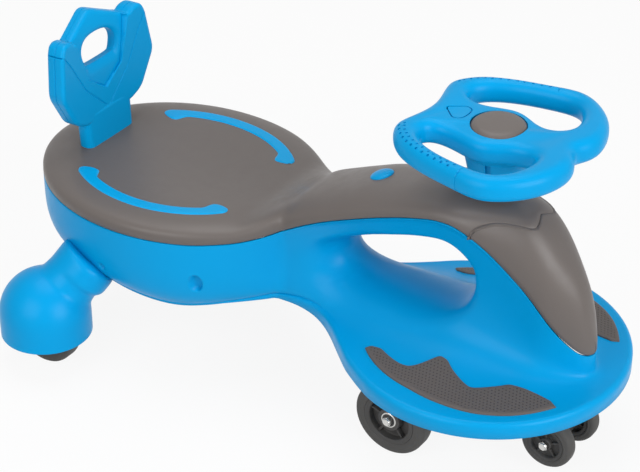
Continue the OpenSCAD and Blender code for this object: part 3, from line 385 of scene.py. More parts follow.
def arch_strands(ring, outer=8, bend=7, inner=9):
    """Lines of points from a ring on the skin over the opening's rounded edge and into its wall."""
    cut = {}

    def slice_at(x):
        key = round(x, 3)
        if key not in cut:
            cut[key] = middle_side(x)
        return cut[key]

    def drop(x, z):
        side = slice_at(x)
        return (side.top - z) / (side.top - side.rim)

    def angle(x, v):
        return math.atan2((v - 0.5) * 150, x - ARCH_X)

    def buried(q, s):
        p = arch_point(q, s)
        return slice_at(p.x).at(drop(p.x, p.z)).y > p.y

    edge = []
    for q in closed_curve(ARCH, 20, 6.0):
        s = halved(lambda s: buried(q, s), 0.0, 1.6, 24)[0]
        p = arch_point(q, s)
        edge.append((p.x, drop(p.x, p.z), s, *q))
    edge = np.array(edge)
    turn = np.array([angle(x, v) for x, v in edge[:, :2]])
    order = np.argsort(turn)
    turn = np.concatenate([turn[order] + 2 * math.pi * k for k in (-1, 0, 1)])
    edge = np.tile(edge[order], (3, 1))

    def strand(xb, vb):
        a = angle(xb, vb)
        xh, vh, sh, *q = (float(np.interp(a, turn, edge[:, k])) for k in range(5))

        def skin(u):
            return slice_at(xh + (xb - xh) * u).at(vh + (vb - vh) * u)

        corner = skin(0.0)
        radius = 7 + 20 * max(-math.cos(a), 0.0) ** 2 + 7 * max(math.sin(a), 0.0)
        far = next((u for u in np.linspace(0, 1, 60) if (skin(u) - corner).length >= radius), 0.8)
        far = min(far, 0.8)
        near = next((s for s in np.linspace(0, sh, 60)[::-1] if (arch_point(q, s) - corner).length >= radius), 0.0)
        near = max(near, sh * 0.15)
        start, end = skin(far), arch_point(q, near)
        line = [skin(u) for u in np.linspace(1, far, outer + 1)[1:]]
        line += [start * (1 - t) ** 2 + corner * 2 * t * (1 - t) + end * t * t
                 for t in (k / bend for k in range(1, bend + 1))]
        return line + [arch_point(q, near * (1 - k / inner)) for k in range(1, inner + 1)]

    return [strand(v.co.x, drop(v.co.x, v.co.z)) for v in ring]


def build_shell():
    """Right half of the blue shell with its arch opening, mirrored to both sides."""
    sides = shell_sides()
    rows = len(ROLL) + DOWN + ACROSS + ROUND + UNDER
    bm, grid = sheet(len(sides), rows, lambda i, j: shell_point(sides[i], j, i > len(sides) - 8))
    # A block of faces gives way to the opening, whose wall grows from the ring round it
    i0, i1, j0, j1 = ARCH_FIRST, ARCH_LAST, len(ROLL) + 1, len(ROLL) + DOWN + 4
    ring = [grid[i, j0] for i in range(i0, i1)] + [grid[i1, j] for j in range(j0, j1)] \
        + [grid[i, j1] for i in range(i1, i0, -1)] + [grid[i0, j] for j in range(j1, j0, -1)]
    taken = {grid[i, j] for i in range(i0, i1 + 1) for j in range(j0, j1 + 1)}
    bmesh.ops.delete(bm, geom=[f for f in bm.faces if taken.issuperset(f.verts)], context="FACES")
    for places in zip(*arch_strands(ring)):
        ring = next_loop(bm, ring, [Vector((p.x, -max(p.y, 0.0), p.z)) for p in places])
    for recess in RECESSES:
        dented(bm, *recess)
    return mirrored(bm, lambda f: -f.normal.x if f.calc_center_median().x < SEAT_X else 0.0)


# Where a cover's dome turns from its rounded side to its flatter top, as shares of the width and of the rows,
# and the number of rows
TOP_WIDTH, TOP_ROWS, COVER_ROWS = 0.62, 0.6, 26


def dome_rows(n):
    """Shares of the width along one slice of a cover, from the seam to the ridge."""
    edge = math.pi / 2 - math.asin(TOP_WIDTH ** (n / 2))
    return [math.sin(math.pi / 2 - edge * r / TOP_ROWS) ** (2 / n) if r < TOP_ROWS
            else TOP_WIDTH * (1 - (r - TOP_ROWS) / (1 - TOP_ROWS))
            for r in (j / (COVER_ROWS - 1) for j in range(COVER_ROWS))]


def cover_point(x, sigma):
    """Point of a cover at a share of its half width, kept just above the seam's groove."""
    n, half, low = SQUARE(neck(x)), seam_half(x), seam_z(x)
    z = low + max(ridge_z(x) - low, 0.3) * max(1 - sigma ** n, 0.0) ** (1 / n) - dish(x, half * sigma)
    return Vector((x, half * sigma, max(z, low + 1.4) if sigma > 0.98 else z))


def build_seat():
    """Grey seat and neck cover, up to the wavy joint with the nose."""
    rear, wave, sides = 30, 24, [float(x) for x in np.linspace(SEAT_X, 150, 70)]
    count = rear + len(sides) + wave + 2

    def place(i, j):
        if i < rear:
            beta = math.pi / 2 * i / rear
            c, s = math.cos(beta), math.sin(beta)
            if j < len(ROLL):
                inset, lift = ROLL[j]
                k = 1 - inset / SEAT_B
                return Vector((SEAT_X - SEAT_A * c * k, -SEAT_B * s * k, SEAM + lift))
            sigma = dome_rows(5.0)[j - len(ROLL)]
            x, y = SEAT_X - SEAT_A * c * sigma, SEAT_B * s * sigma
            z = seat_z(x, y)
            return Vector((x, -y, max(z, SEAM + 1.4) if sigma > 0.98 else z))
        i -= rear
        ahead = max(i - len(sides) + 1, 0)
        start = sides[min(i, len(sides) - 1)]
        sigma = 1.0 if j < len(ROLL) else dome_rows(SQUARE(neck(start)))[j - len(ROLL)]
        x = start + (NOSE_EDGE(sigma) - 0.5 - start) * min(ahead / wave, 1.0)
        if j < len(ROLL):
            inset, lift = ROLL[j]
            p = Vector((x, seam_half(x) - inset, seam_z(x) + lift))
        else:
            p = cover_point(x, sigma)
        if ahead > wave:
            p.x += (0.35, 0.45)[ahead - wave - 1]
            p.z -= (0.5, 3.0)[ahead - wave - 1]
        return Vector((p.x, -p.y, p.z))

    return mirrored(sheet(count, len(ROLL) + COVER_ROWS, place)[0], lambda f: f.normal.z)


def build_nose():
    """Grey nose cover, from its wavy rear edge down to the foot plate."""
    count, shares = 60, dome_rows(SQUARE(neck(NOSE_FROM)))

    def place(i, j):
        u = 1 - (1 - max(i - 2, 0) / (count - 3)) ** 2
        sigma = 1.0 if j < len(ROLL) else shares[j - len(ROLL)]
        first = NOSE_EDGE(sigma) + 0.5
        x = first + (NOSE_TIP - 0.02 - first) * u
        if j < len(ROLL):
            inset, lift = ROLL[j]
            half = seam_half(x)
            back = inset * smooth((x - 335) / 12)
            p = Vector((x - back, max(half - inset, half * 0.3), seam_z(x) + lift))
        else:
            p = cover_point(x, sigma)
        if i < 2:
            p.x -= (0.45, 0.35)[i]
            p.z -= (3.0, 0.5)[i]
        return Vector((p.x, -p.y, p.z))

    return mirrored(sheet(count, len(ROLL) + COVER_ROWS, place)[0], lambda f: f.normal.z)


def plate_z(x, y):
    """Height of the blue shell's upper face on the foot plate, read off one slice."""
    side = middle_side(x)
    return side.swept(halved(lambda c: side.swept(c).y < abs(y), 0.0, 1.0, 30)[0]).z


def scratch(bm):
    """A bmesh as a throw-away object, for a modifier to work on."""
    mesh = bpy.data.meshes.new("scratch")
    bm.to_mesh(mesh)
    bm.free()
    thing = bpy.data.objects.new("scratch", mesh)
    bpy.context.scene.collection.objects.link(thing)
    return thing


def settled(thing, *others):
    """The object's mesh after its modifiers, as a bmesh; the throw-away objects are removed."""
    bpy.context.view_layer.update()
    shape = thing.evaluated_get(bpy.context.evaluated_depsgraph_get())
    bm = bmesh.new()
    bm.from_mesh(shape.to_mesh())
    shape.to_mesh_clear()
    for old in (thing,) + others:
        mesh = old.data
        bpy.data.objects.remove(old)
        bpy.data.meshes.remove(mesh)
    return bm


def carved(bm, cutter, operation="DIFFERENCE"):
    """The shape with another cut from it or joined to it."""
    thing, tool = scratch(bm), scratch(cutter)
    cut = thing.modifiers.new("cut", "BOOLEAN")
    cut.operation, cut.solver, cut.object = operation, "EXACT", tool
    return settled(thing, tool)


def melted(bm, grain, rounds):
    """Overlapping closed shapes fused into one skin with softened joints."""
    thing = scratch(bm)
    fuse = thing.modifiers.new("fuse", "REMESH")
    fuse.mode, fuse.voxel_size = "VOXEL", grain
    bm = settled(thing)
    for _ in range(rounds):
        bmesh.ops.smooth_vert(bm, verts=bm.verts, factor=0.5, use_axis_x=True, use_axis_y=True, use_axis_z=True)
    return bm


def joined(*shapes):
    """Several bmeshes put into the first one."""
    base = shapes[0]
    for other in shapes[1:]:
        mesh = bpy.data.meshes.new("part")
        other.to_mesh(mesh)
        other.free()
        base.from_mesh(mesh)
        bpy.data.meshes.remove(mesh)
    return base


def twin(bm):
    """A mirrored copy for the other side of the car."""
    copy = bm.copy()
    bmesh.ops.scale(copy, vec=(1, -1, 1), verts=copy.verts)
    bmesh.ops.reverse_faces(copy, faces=copy.faces)
    return copy


def bevelled(bm, edges, width):
    """Rounds edges a little."""
    bmesh.ops.bevel(bm, geom=edges, offset=width, affect="EDGES", segments=2, profile=0.5, material=-1)


def block(bm, size, at, lean=0.0, turn=0.0):
    """Adds a box that leans about Y, is moved to its place and turned about Z; gives its vertices."""
    made = bmesh.ops.create_cube(bm, size=1.0)["verts"]
    bmesh.ops.scale(bm, vec=size, verts=made)
    bmesh.ops.rotate(bm, cent=(0, 0, 0), matrix=Matrix.Rotation(lean, 3, "Y"), verts=made)
    bmesh.ops.translate(bm, vec=at, verts=made)
    bmesh.ops.rotate(bm, cent=(0, 0, 0), matrix=Matrix.Rotation(turn, 3, "Z"), verts=made)
    return made


def turned(profile, steps=72, closed=False):
    """A profile of radius and height pairs turned once round the Z axis."""
    bm = bmesh.new()
    verts = [bm.verts.new((r, 0, h)) for r, h in profile]
    edges = [bm.edges.new(pair) for pair in zip(verts, verts[1:])]
    if closed:
        edges.append(bm.edges.new((verts[-1], verts[0])))
    bmesh.ops.spin(bm, geom=verts + edges, cent=(0, 0, 0), axis=(0, 0, 1), angle=2 * math.pi, steps=steps,
                   use_merge=True)
    bmesh.ops.remove_doubles(bm, verts=bm.verts, dist=1e-4)
    bmesh.ops.recalc_face_normals(bm, faces=bm.faces)
    return bm


def set_up(bm, along, at):
    """Turns a shape made along Z to another direction and moves it to its place."""
    turn = Vector((0, 0, 1)).rotation_difference(Vector(along).normalized()).to_matrix()
    bmesh.ops.rotate(bm, cent=(0, 0, 0), matrix=turn, verts=bm.verts)
    bmesh.ops.translate(bm, vec=at, verts=bm.verts)
    return bm


def offset_ring(points, d):
    """A closed ring, anticlockwise, moved outwards by d."""
    step = np.roll(points, -1, axis=0) - np.roll(points, 1, axis=0)
    out = np.stack([step[:, 1], -step[:, 0]], axis=1)
    return points + d * out / np.linalg.norm(out, axis=1, keepdims=True)


def rounded_corners(points, radius, steps=6):
    """A closed outline with its corners rounded."""
    p = np.array(points, float)
    out = []
    for i in range(len(p)):
        a, b = p[i - 1] - p[i], p[(i + 1) % len(p)] - p[i]
        la, lb = np.linalg.norm(a), np.linalg.norm(b)
        d = min(radius, la * 0.45, lb * 0.45)
        u, w = p[i] + a / la * d, p[i] + b / lb * d
        for t in np.linspace(0, 1, steps + 1):
            out.append(u * (1 - t) ** 2 + p[i] * 2 * t * (1 - t) + w * t * t)
    return np.array(out)


def loops(outline, levels):
    """A closed solid through copies of an outline, each with its own offset and height."""
    bm = bmesh.new()
    first = offset_ring(outline, levels[0][0])
    ring = [bm.verts.new((x, y, levels[0][1])) for x, y in first]
    for i in range(len(ring)):
        bm.edges.new((ring[i - 1], ring[i]))
    bm.faces.new(ring)
    for d, z in levels[1:]:
        ring = next_loop(bm, ring, [Vector((x, y, z)) for x, y in offset_ring(outline, d)])
    bm.faces.new(ring)
    bmesh.ops.recalc_face_normals(bm, faces=bm.faces)
    return bm


def rounded_levels(low, high, radius, steps, way, line=()):
    """Offsets and heights over a plate's rounded edge, from its upper face down to its lower one."""
    arc = [math.pi / 2 * k / steps for k in range(steps + 1)]
    upper = [(way * radius * (1 - math.cos(a)), high - radius * (1 - math.sin(a))) for a in reversed(arc)]
    return upper + list(line) + [(way * radius * (1 - math.cos(a)), low + radius * (1 - math.sin(a))) for a in arc]


def rounded_slab(outline, low, high, radius, steps=6, groove=0.0):
    """A plate with rounded edges and, where asked, a fine parting groove round its middle."""
    middle, border = (low + high) / 2, -radius - 0.8
    line = [(0, middle + groove), (-groove, middle), (0, middle - groove)] if groove else []
    return loops(outline, [(border, high)] + rounded_levels(low, high, radius, steps, -1, line) + [(border, low)])


def flared_cutter(outline, low, high, radius, steps=6):
    """The space of a hole through such a plate, with rounded edges."""
    levels = rounded_levels(low, high, radius, steps, 1)
    return loops(outline, [(radius, high + 5)] + levels + [(radius, low - 5)])


def ribbon(points, width, low, high, closed=False, top=None):
    """A thin wall along a line, as the cutter of a groove, with sides that may slope out to another width."""
    p = np.array(points, float)
    ahead = np.roll(p, -1, axis=0) - p
    behind = p - np.roll(p, 1, axis=0)
    if not closed:
        ahead[-1], behind[0] = behind[-1], ahead[0]
    ahead /= np.linalg.norm(ahead, axis=1, keepdims=True)
    behind /= np.linalg.norm(behind, axis=1, keepdims=True)
    mean = ahead + behind
    mean /= np.linalg.norm(mean, axis=1, keepdims=True)
    side = np.stack([mean[:, 1], -mean[:, 0]], axis=1)
    reach = width / 2 / np.maximum((side * np.stack([ahead[:, 1], -ahead[:, 0]], axis=1)).sum(axis=1), 0.4)
    right, left = p + side * reach[:, None], p - side * reach[:, None]
    spread = side * reach[:, None] * ((top or width) / width - 1)
    bm = bmesh.new()
    a = [bm.verts.new((x, y, low)) for x, y in right]
    b = [bm.verts.new((x, y, low)) for x, y in left]
    slope = {(round(v.co.x, 4), round(v.co.y, 4)): d for v, d in zip(a + b, np.concatenate([spread, -spread]))}
    last = len(p) if closed else len(p) - 1
    faces = [bm.faces.new((a[i], a[(i + 1) % len(p)], b[(i + 1) % len(p)], b[i])) for i in range(last)]
    lifted = bmesh.ops.extrude_face_region(bm, geom=faces)["geom"]
    for v in lifted:
        if isinstance(v, bmesh.types.BMVert):
            d = slope[(round(v.co.x, 4), round(v.co.y, 4))]
            v.co += Vector((d[0], d[1], high - low))
    bmesh.ops.recalc_face_normals(bm, faces=bm.faces)
    return bm


# Seat stripes: angles round the seat's oval, share of the oval they run along, half width and its bulge at the ends
STRIPE_FROM, STRIPE_TO, STRIPE_SHARE, STRIPE_HALF, STRIPE_BULB = 35.0, 133.0, 0.733, 7.6, 8.5


def build_stripe():
    """Right stripe, laid into the seat, with a bulb turned inwards at each end."""
    count, across = 110, 15

    def place(i, j):
        u, w = 0.001 + 0.998 * i / (count - 1), -1 + 2 * j / (across - 1)
        a = math.radians(STRIPE_FROM + (STRIPE_TO - STRIPE_FROM) * u)
        end = math.sqrt(max(1 - (1 - min(min(u, 1 - u) / 0.045, 1.0)) ** 2, 0.0))
        bulb = smooth(1 - abs(u - 0.065) / 0.085) + smooth(1 - abs(u - 0.935) / 0.085)
        half = (STRIPE_HALF if w > 0 else STRIPE_HALF + STRIPE_BULB * bulb) * w * end
        x = SEAT_X + SEAT_A * STRIPE_SHARE * math.cos(a) + math.cos(a) * half
        y = SEAT_B * STRIPE_SHARE * math.sin(a) + math.sin(a) * half
        edge = min((1 - abs(w)) / 0.22, 1.0)
        rise = (-0.6 + 1.9 * math.sqrt(max(1 - (1 - edge) ** 2, 0.0))) * (0.4 + 0.6 * end)
        return Vector((x, -y, seat_z(x, y) + rise))

    bm = sheet(count, across, place)[0]
    outwards(bm, lambda f: f.normal.z)
    return bm


# Foot pads: shares of the plate's radius against the share of the pad's length
PAD_FROM, PAD_TO = 30.0, 136.0
PAD_INNER = Guide([(-0.2, 0.9), (0, 0.875), (0.021, 0.775), (0.082, 0.676), (0.153, 0.618), (0.271, 0.629),
                   (0.381, 0.652), (0.48, 0.569), (0.606, 0.48), (0.69, 0.478), (0.725, 0.58), (0.755, 0.68),
                   (0.813, 0.716), (0.975, 0.768), (1, 0.84), (1.2, 0.87)], 0.016)
PAD_OUTER = Guide([(-0.2, 0.9), (0, 0.907), (0.18, 0.912), (0.33, 0.897), (0.48, 0.861), (0.645, 0.835),
                   (0.8, 0.848), (1, 0.868), (1.2, 0.87)], 0.03)


def build_pad():
    """Right foot pad, laid on the plate, with a smooth border round its dimpled field."""
    count, across = 150, 26
    field = {}

    def place(i, j):
        u = i / (count - 1)
        u -= 0.012 * math.sin(2 * math.pi * u)
        a = math.radians(PAD_FROM + (PAD_TO - PAD_FROM) * u)
        r0, r1 = PLATE_R * PAD_INNER(u), PLATE_R * PAD_OUTER(u)
        if j in (0, across - 1):
            r, rise = (r1 if j else r0), 0.2
        elif j in (1, across - 2):
            r, rise = (r0 + 0.15 if j == 1 else r1 - 0.15), 1.5
        else:
            r = r0 + 0.8 + (r1 - r0 - 1.6) * ((j - 2) / (across - 5))
            rise = 1.5 + 0.9 * min(min(r - r0, r1 - r) / 3.0, 1.0) ** 0.5
        ends = min(u, 1 - u) * math.radians(PAD_TO - PAD_FROM) * r
        field[i, j] = smooth((min(r - r0, r1 - r, ends) - 3.2) / 1.6)
        x, y = COLUMN_X + r * math.cos(a), r * math.sin(a)
        return Vector((x, -y, plate_z(x, y) + (0.2 if i in (0, count - 1) else rise)))

    bm, grid = sheet(count, across, place)
    layer = bm.verts.layers.float.new("dimpled")
    for v, spot in zip(bm.verts, grid):
        v[layer] = field[spot]
    bm.normal_update()
    if sum(f.normal.z for f in bm.faces) < 0:
        bmesh.ops.reverse_faces(bm, faces=bm.faces)
    return bm


PLUG_X = 76.56


def build_plug():
    """Blue plug on the neck's ridge: a lens with a fine rim."""
    profile = [(0, 4.2), (3, 4.15), (6, 3.9), (8.5, 3.4), (10.5, 2.7), (12, 1.9), (13, 1.1), (13.45, 0.5),
               (13.5, 0.2), (13.5, -1.5), (0, -1.5)]
    slope = (ridge_z(PLUG_X + 20) - ridge_z(PLUG_X - 20)) / 40
    return set_up(turned(profile, 64), (-slope, 0, 1), (PLUG_X, 0, ridge_z(PLUG_X)))


# Backrest: half outline, opening and V lines, in millimetres across and up
BACK_AT, BACK_LEAN, BACK_THICK = Vector((-312.0, 0, 217.0)), math.radians(3.0), 25.0
BACK_HALF = [(40, 27), (61, 37), (85, 80), (77, 133), (72.5, 142), (66, 145), (56, 143.5), (48.5, 138)]
BACK_PEAK, BACK_WIDE = 159.5, 84.0
BACK_HOLE = [(31, 112), (29, 122), (20, 129), (8, 131.5), (-8, 131.5), (-20, 129), (-29, 122), (-31, 112),
             (-27, 102), (-18, 98.5), (18, 98.5), (27, 102)]
BACK_INNER = [(0, 62.5), (29, 84), (38, 110), (48, 141), (49, 165)]
BACK_OUTER = [(0, 37), (39, 75), (61.5, 114), (74, 131), (82, 146)]
# How far the middle is dished, how far the top ring sweeps back, and the ring's share of the thickness
BACK_DISH, BACK_SWEEP, RING_SHARE, LEDGE_FALL = 7.0, 14.0, 0.72, 7.0


def build_backrest():
    """Backrest with its hand hole, V lines, parting line, swept top ring and narrower foot."""
    right = BACK_HALF + [(0, BACK_PEAK)]
    outline = rounded_corners(right + [(-y, z) for y, z in reversed(BACK_HALF)], 9.0)
    half = BACK_THICK / 2
    bm = rounded_slab(outline, -half, half, 5.0, 6, 0.8)
    bm = carved(bm, flared_cutter(closed_curve(BACK_HOLE, 6, 2.0), -half, half, 7.0))
    for line in (BACK_INNER, BACK_OUTER):
        both = [(-y, z) for y, z in reversed(line[1:])] + line
        bm = carved(bm, ribbon(both, 0.7, half - 0.9, half + 2, False, 6.0))
        bm = carved(bm, ribbon(both, 6.0, -half - 2, -half + 0.9, False, 0.7))
    for side in (1, -1):
        notch = bmesh.new()
        block(notch, (6, 1.6, BACK_THICK * 2), (side * 78.2, 132, 0))
        bm = carved(bm, notch)
    # Fine strips let the flat faces take the dish and the sweep
    cuts = [((c, 0, 0), (1, 0, 0)) for c in range(-80, 81, 8)] + [((0, c, 0), (0, 1, 0)) for c in range(32, 158, 6)]
    for place, square in cuts:
        bmesh.ops.bisect_plane(bm, geom=whole(bm), dist=1e-4, plane_co=place, plane_no=square)
    wide, high = [p[0] for p in BACK_INNER], [p[1] for p in BACK_INNER]
    for v in bm.verts:
        across, up, out = v.co
        if up > high[0] and abs(across) < np.interp(up, high, wide):
            out = out * RING_SHARE - BACK_SWEEP * ((up - high[0]) / (BACK_PEAK - high[0])) ** 3.5
            ledge = smooth((up - 70) / 20) * (1 - smooth((up - 100) / 8)) * smooth((36 - abs(across)) / 12)
            v.co.y -= LEDGE_FALL * ledge * (v.co.z / half) ** 2
        v.co.z = out - BACK_DISH * (1 - (across / BACK_WIDE) ** 2)
    foot = rounded_corners([(41, -28), (43, 44), (-43, 44), (-41, -28)], 14.0)
    bm = joined(bm, rounded_slab(foot, -13.0, 6.4, 8.0, 6))
    # Across, up and outwards become Y, Z and X
    turn = Matrix(((0, 0, 1), (1, 0, 0), (0, 1, 0)))
    for matrix in (turn, Matrix.Rotation(-BACK_LEAN, 3, "Y")):
        bmesh.ops.rotate(bm, cent=(0, 0, 0), matrix=matrix, verts=bm.verts)
    bmesh.ops.translate(bm, vec=BACK_AT, verts=bm.verts)
    return bm


# Rear legs: bell over the wheel and neck up to the tub
BELL_AT, BELL_R, BELL_RIM = Vector((-281.0, -169.0, 66.0)), 54.0, 40.0
LEG_ALONG = Vector((0.4, 0.525, 0.752))


def build_leg():
    """Right rear leg as one smooth moulding, open below."""
    dome = [(BELL_R * math.sin(a), BELL_R * math.cos(a)) for a in np.linspace(0, math.pi / 2, 24)]
    dome[0] = (0.0, BELL_R)
    bell = turned(dome + [(BELL_R, 28.0 - BELL_AT.z), (0, 28.0 - BELL_AT.z)], 96)
    bmesh.ops.translate(bell, vec=BELL_AT, verts=bell.verts)
    neck_tube = turned([(0, 6), (40, 6), (39, 24), (35.5, 42), (33.5, 56), (33.5, 84), (30, 87), (0, 87)], 72)
    set_up(neck_tube, LEG_ALONG, BELL_AT)
    shoulder = turned([(0, 55), (31, 55), (34, 57.5), (35, 61), (35, 78), (33, 84), (0, 84)], 72)
    set_up(shoulder, LEG_ALONG, BELL_AT + Vector((4.5, 0.5, -2.0)))
    bm = melted(joined(bell, neck_tube, shoulder), 1.9, 12)
    cut = bmesh.ops.bisect_plane(bm, geom=whole(bm), dist=1e-4, plane_co=(0, 0, BELL_RIM), plane_no=(0, 0, 1),
                                 clear_inner=True)
    rim = [g for g in cut["geom_cut"] if isinstance(g, bmesh.types.BMEdge)]
    for v in bmesh.ops.extrude_edge_only(bm, edges=rim)["geom"]:
        if isinstance(v, bmesh.types.BMVert):
            away = (v.co - BELL_AT).xy.normalized()
            v.co.x, v.co.y = v.co.x - away.x * 0.9, v.co.y - away.y * 0.9
    outwards(bm, lambda f: f.normal.dot(f.calc_center_median() - BELL_AT))
    return bm


# Steering wheel: half outline and grip opening in millimetres, right side
WHEEL_HALF = [(139, 0), (125, 45), (127, 62), (141, 80), (159, 92), (190, 103), (218, 108.5), (242, 114),
              (262, 114), (282, 104), (302, 85), (315, 62), (321, 36), (317, 16)]
WHEEL_NOSE = 307.0
GRIP = [(152, 56), (171, 76), (206, 87), (238, 91.5), (255, 93), (270, 86), (282, 66), (286, 42), (280, 29),
        (262, 27.5), (249, 30.5), (235, 39), (217, 47.5), (195, 39.5), (172, 34), (157, 39)]
SHIELD = [(154, 0), (171, 15.5), (178.5, 13), (181, 6), (181, -6), (178.5, -13), (171, -15.5)]
# Boss slots: size, place and lean; finger dimples: pitch, ball's radius and, by row, inset, lift and count
SLOT_SIZE, SLOT_AT, SLOT_LEAN, SLOT_TURN = (12, 6.0, 44), (32.5, 0, 341), math.radians(13), math.radians(77)
DIMPLE_PITCH, DIMPLE_R, DIMPLE_ROWS = 9.4, 1.7, ((10.5, 24.0, 13), (4.5, 18.0, 12))
RIM_LIFT = 3.4
CAP_SEAT, CAP_R = 3.0, 30.0


def wheel_outline():
    right = [(x, -y) for x, y in WHEEL_HALF]
    return closed_curve(right + [(WHEEL_NOSE, 0)] + [(x, y) for x, y in reversed(WHEEL_HALF[1:])], 12, 5.0)


def scored(bm, at, along, reach, inner, depth=0.9, half=0.8):
    """A fine groove across the outer side of a bar, square to its direction."""
    at, along = Vector(at), Vector(along).normalized()
    for shift in (-half, half, 0.0):
        near = [f for f in bm.faces if (f.calc_center_median() - at).length < reach]
        geom = near + list({e for f in near for e in f.edges}) + list({v for f in near for v in f.verts})
        cut = bmesh.ops.bisect_plane(bm, geom=geom, dist=1e-5, plane_co=at + along * shift, plane_no=along)
    bm.normal_update()
    for v in cut["geom_cut"]:
        if isinstance(v, bmesh.types.BMVert):
            v.co -= v.normal * (depth * smooth((abs(v.co.y) - inner) / 3))


def finger_dimples(skin, outline):
    """Small balls set into the skin along its normal, in two rows along each rear grip."""
    dents = bmesh.new()
    length = np.concatenate([[0], np.cumsum(np.linalg.norm(np.diff(outline, axis=0), axis=1))])
    begin = next(d for d, (x, y) in zip(length, outline) if x < 135 and -66 < y < -58)
    for row, (inset, lift, count) in enumerate(DIMPLE_ROWS):
        ring = offset_ring(outline, -inset)
        for k in range(count):
            at = begin + DIMPLE_PITCH * (k + row / 2)
            x, y = (np.interp(at, length, ring[:, c]) for c in range(2))
            for side in (1, -1):
                hit, normal, _, _ = skin.find_nearest(Vector((x, y * side, WHEEL_MID + lift)))
                made = bmesh.ops.create_icosphere(dents, subdivisions=2, radius=DIMPLE_R)["verts"]
                bmesh.ops.translate(dents, vec=hit - normal * 0.4, verts=made)
    return dents


def build_steering():
    """Steering wheel: a thick rounded rim, two grip openings, a boss with slots and finger dimples."""
    outline, column = wheel_outline(), (COLUMN_X, 0, 0)
    low, high = WHEEL_MID - WHEEL_THICK / 2, WHEEL_MID + WHEEL_THICK / 2
    bm = rounded_slab(outline, low, high, 12.4, 8)
    grip = closed_curve([(x, -y) for x, y in GRIP], 10, 6.0)
    for side in (1, -1):
        ring = grip * np.array([1, side])
        bm = carved(bm, flared_cutter(ring if side > 0 else ring[::-1], low, high, 12.0, 8))
    for v in bm.verts:
        v.co.z += RIM_LIFT * smooth((math.hypot(v.co.x - COLUMN_X, v.co.y) - 42) / 38)
    boss = turned([(0, 319), (25, 319), (26, 320), (36.5, 366), (38, 372), (0, 372)], 72)
    bm = melted(joined(bm, set_up(boss, (0, 0, 1), column)), 1.7, 7)
    floor, radius = high - CAP_SEAT, CAP_R + 0.3
    seat = turned([(0, floor), (radius, floor), (radius, high + 6), (0, high + 6)], 96)
    bm = carved(bm, set_up(seat, (0, 0, 1), column))
    slots = bmesh.new()
    for k in range(4):
        block(slots, SLOT_SIZE, SLOT_AT, SLOT_LEAN, math.pi / 2 * k - SLOT_TURN)
    bm = carved(bm, set_up(slots, (0, 0, 1), column))
    bm = carved(bm, ribbon(rounded_corners(SHIELD, 5.0), 1.5, high - 1.0, high + 4, True))
    bm = carved(bm, finger_dimples(BVHTree.FromBMesh(bm), outline))
    for side in (-1, 1):
        scored(bm, (234, side * 102, WHEEL_MID + RIM_LIFT), (1, side * 0.25, 0), 27, 95)
    return bm


def build_cap():
    """Hub cap: a shallow dome with a rounded edge."""
    top = WHEEL_MID + WHEEL_THICK / 2 - CAP_SEAT
    profile = [(0, 6.9), (8, 6.85), (16, 6.65), (21, 6.35), (23.6, 6.05), (24.9, 5.7), (26.2, 5.0), (27.5, 4.0),
               (28.6, 3.0), (29.4, 2.0), (29.8, 1.0), (29.8, 0), (0, 0)]
    return set_up(turned(profile, 96), (0, 0, 1), (COLUMN_X, 0, top))


def ring_profile(points):
    return points + [(r, -h) for r, h in reversed(points)]


def build_tyre(radius, width):
    """Tyre with rounded shoulders and a shallow step in each side."""
    h, inner = width / 2, radius * 0.7
    side = [(inner, 0.0), (inner, h - 0.9), (inner + 0.5, h - 0.25), (inner + 1.2, h), (radius - 7.0, h),
            (radius - 6.3, h - 0.5), (radius - 5.0, h - 0.6), (radius - 3.2, h - 1.1), (radius - 1.6, h - 2.2),
            (radius - 0.5, h - 3.8), (radius, h - 6.0)]
    return turned(ring_profile(side), 96, True)


# Wheels: radius, width, bore, hub's radius and half the web's thickness; then the place of the left one's middle
ROAD, TIP = (44.98, 24.0, 9.5, 13.5, 2.0), (31.0, 18.0, 3.05, 7.05, 3.0)
WHEELS = {"rear": (ROAD, (-281.0, 169.0, 45.0)), "front": (ROAD, (153.0, 88.0, 45.0)),
          "tip": (TIP, (315.0, 28.0, 41.0))}
BEARING_BORE = 5.0
SIDES = (("right", -1), ("left", 1))


def build_core(radius, width, bore, hub, web):
    """Wheel core: rim, web, hub, five ribs and, where bearings sit, a near-black ring over each shield as painted
    shade.
    """
    h, outer, rim = width / 2, radius * 0.7 - 0.05, radius * 0.57
    side = [(bore, h - 0.4), (bore + 0.4, h), (hub - 0.8, h), (hub, h - 0.8), (hub + 0.6, web + 0.8),
            (hub + 1.6, web), (rim - 1.2, web), (rim - 0.4, web + 0.8), (rim, h - 1.2), (rim + 0.5, h - 0.6),
            (rim + 1.2, h - 0.3), (outer, h - 0.3)]
    bm = turned(ring_profile(side), 96, True)
    # painted shade: a thin near-black ring laid just over each bearing's shield, standing in for the shade in the
    # gap between its races
    shade_ring = [(5.0, 0.55), (5.6, 0.35), (7.2, 0.35), (7.9, 0.55), (7.7, 0.78), (5.2, 0.78)]
    for way in (1, -1) if bore > BEARING_BORE else ():
        bm = joined(bm, set_up(turned([(r, h - d) for r, d in shade_ring], 64, True), (0, 0, way), (0, 0, 0)))
    rib, at = (rim - hub + 1.5, 2.2, width * 0.72), ((rim + hub) / 2, 0, 0)
    for k in range(5):
        made = block(bm, rib, at, 0.0, 2 * math.pi * k / 5 + 0.35)
        bevelled(bm, list({e for v in made for e in v.link_edges}), 0.5)
    return bm


def build_bearings(width):
    """Two ball races with their shields, one in each end of the hub."""
    profile = [(3.05, -2.6), (3.4, -3.0), (4.7, -3.0), (4.9, -2.3), (5.3, -2.2), (7.4, -2.2), (7.8, -2.3),
               (8.0, -3.0), (9.1, -3.0), (9.5, -2.6)]
    ends = [turned(ring_profile(profile), 64, True) for _ in range(2)]
    for bm, way in zip(ends, (1, -1)):
        bmesh.ops.translate(bm, vec=(0, 0, way * (width - 6.0) / 2), verts=bm.verts)
    return joined(*ends)


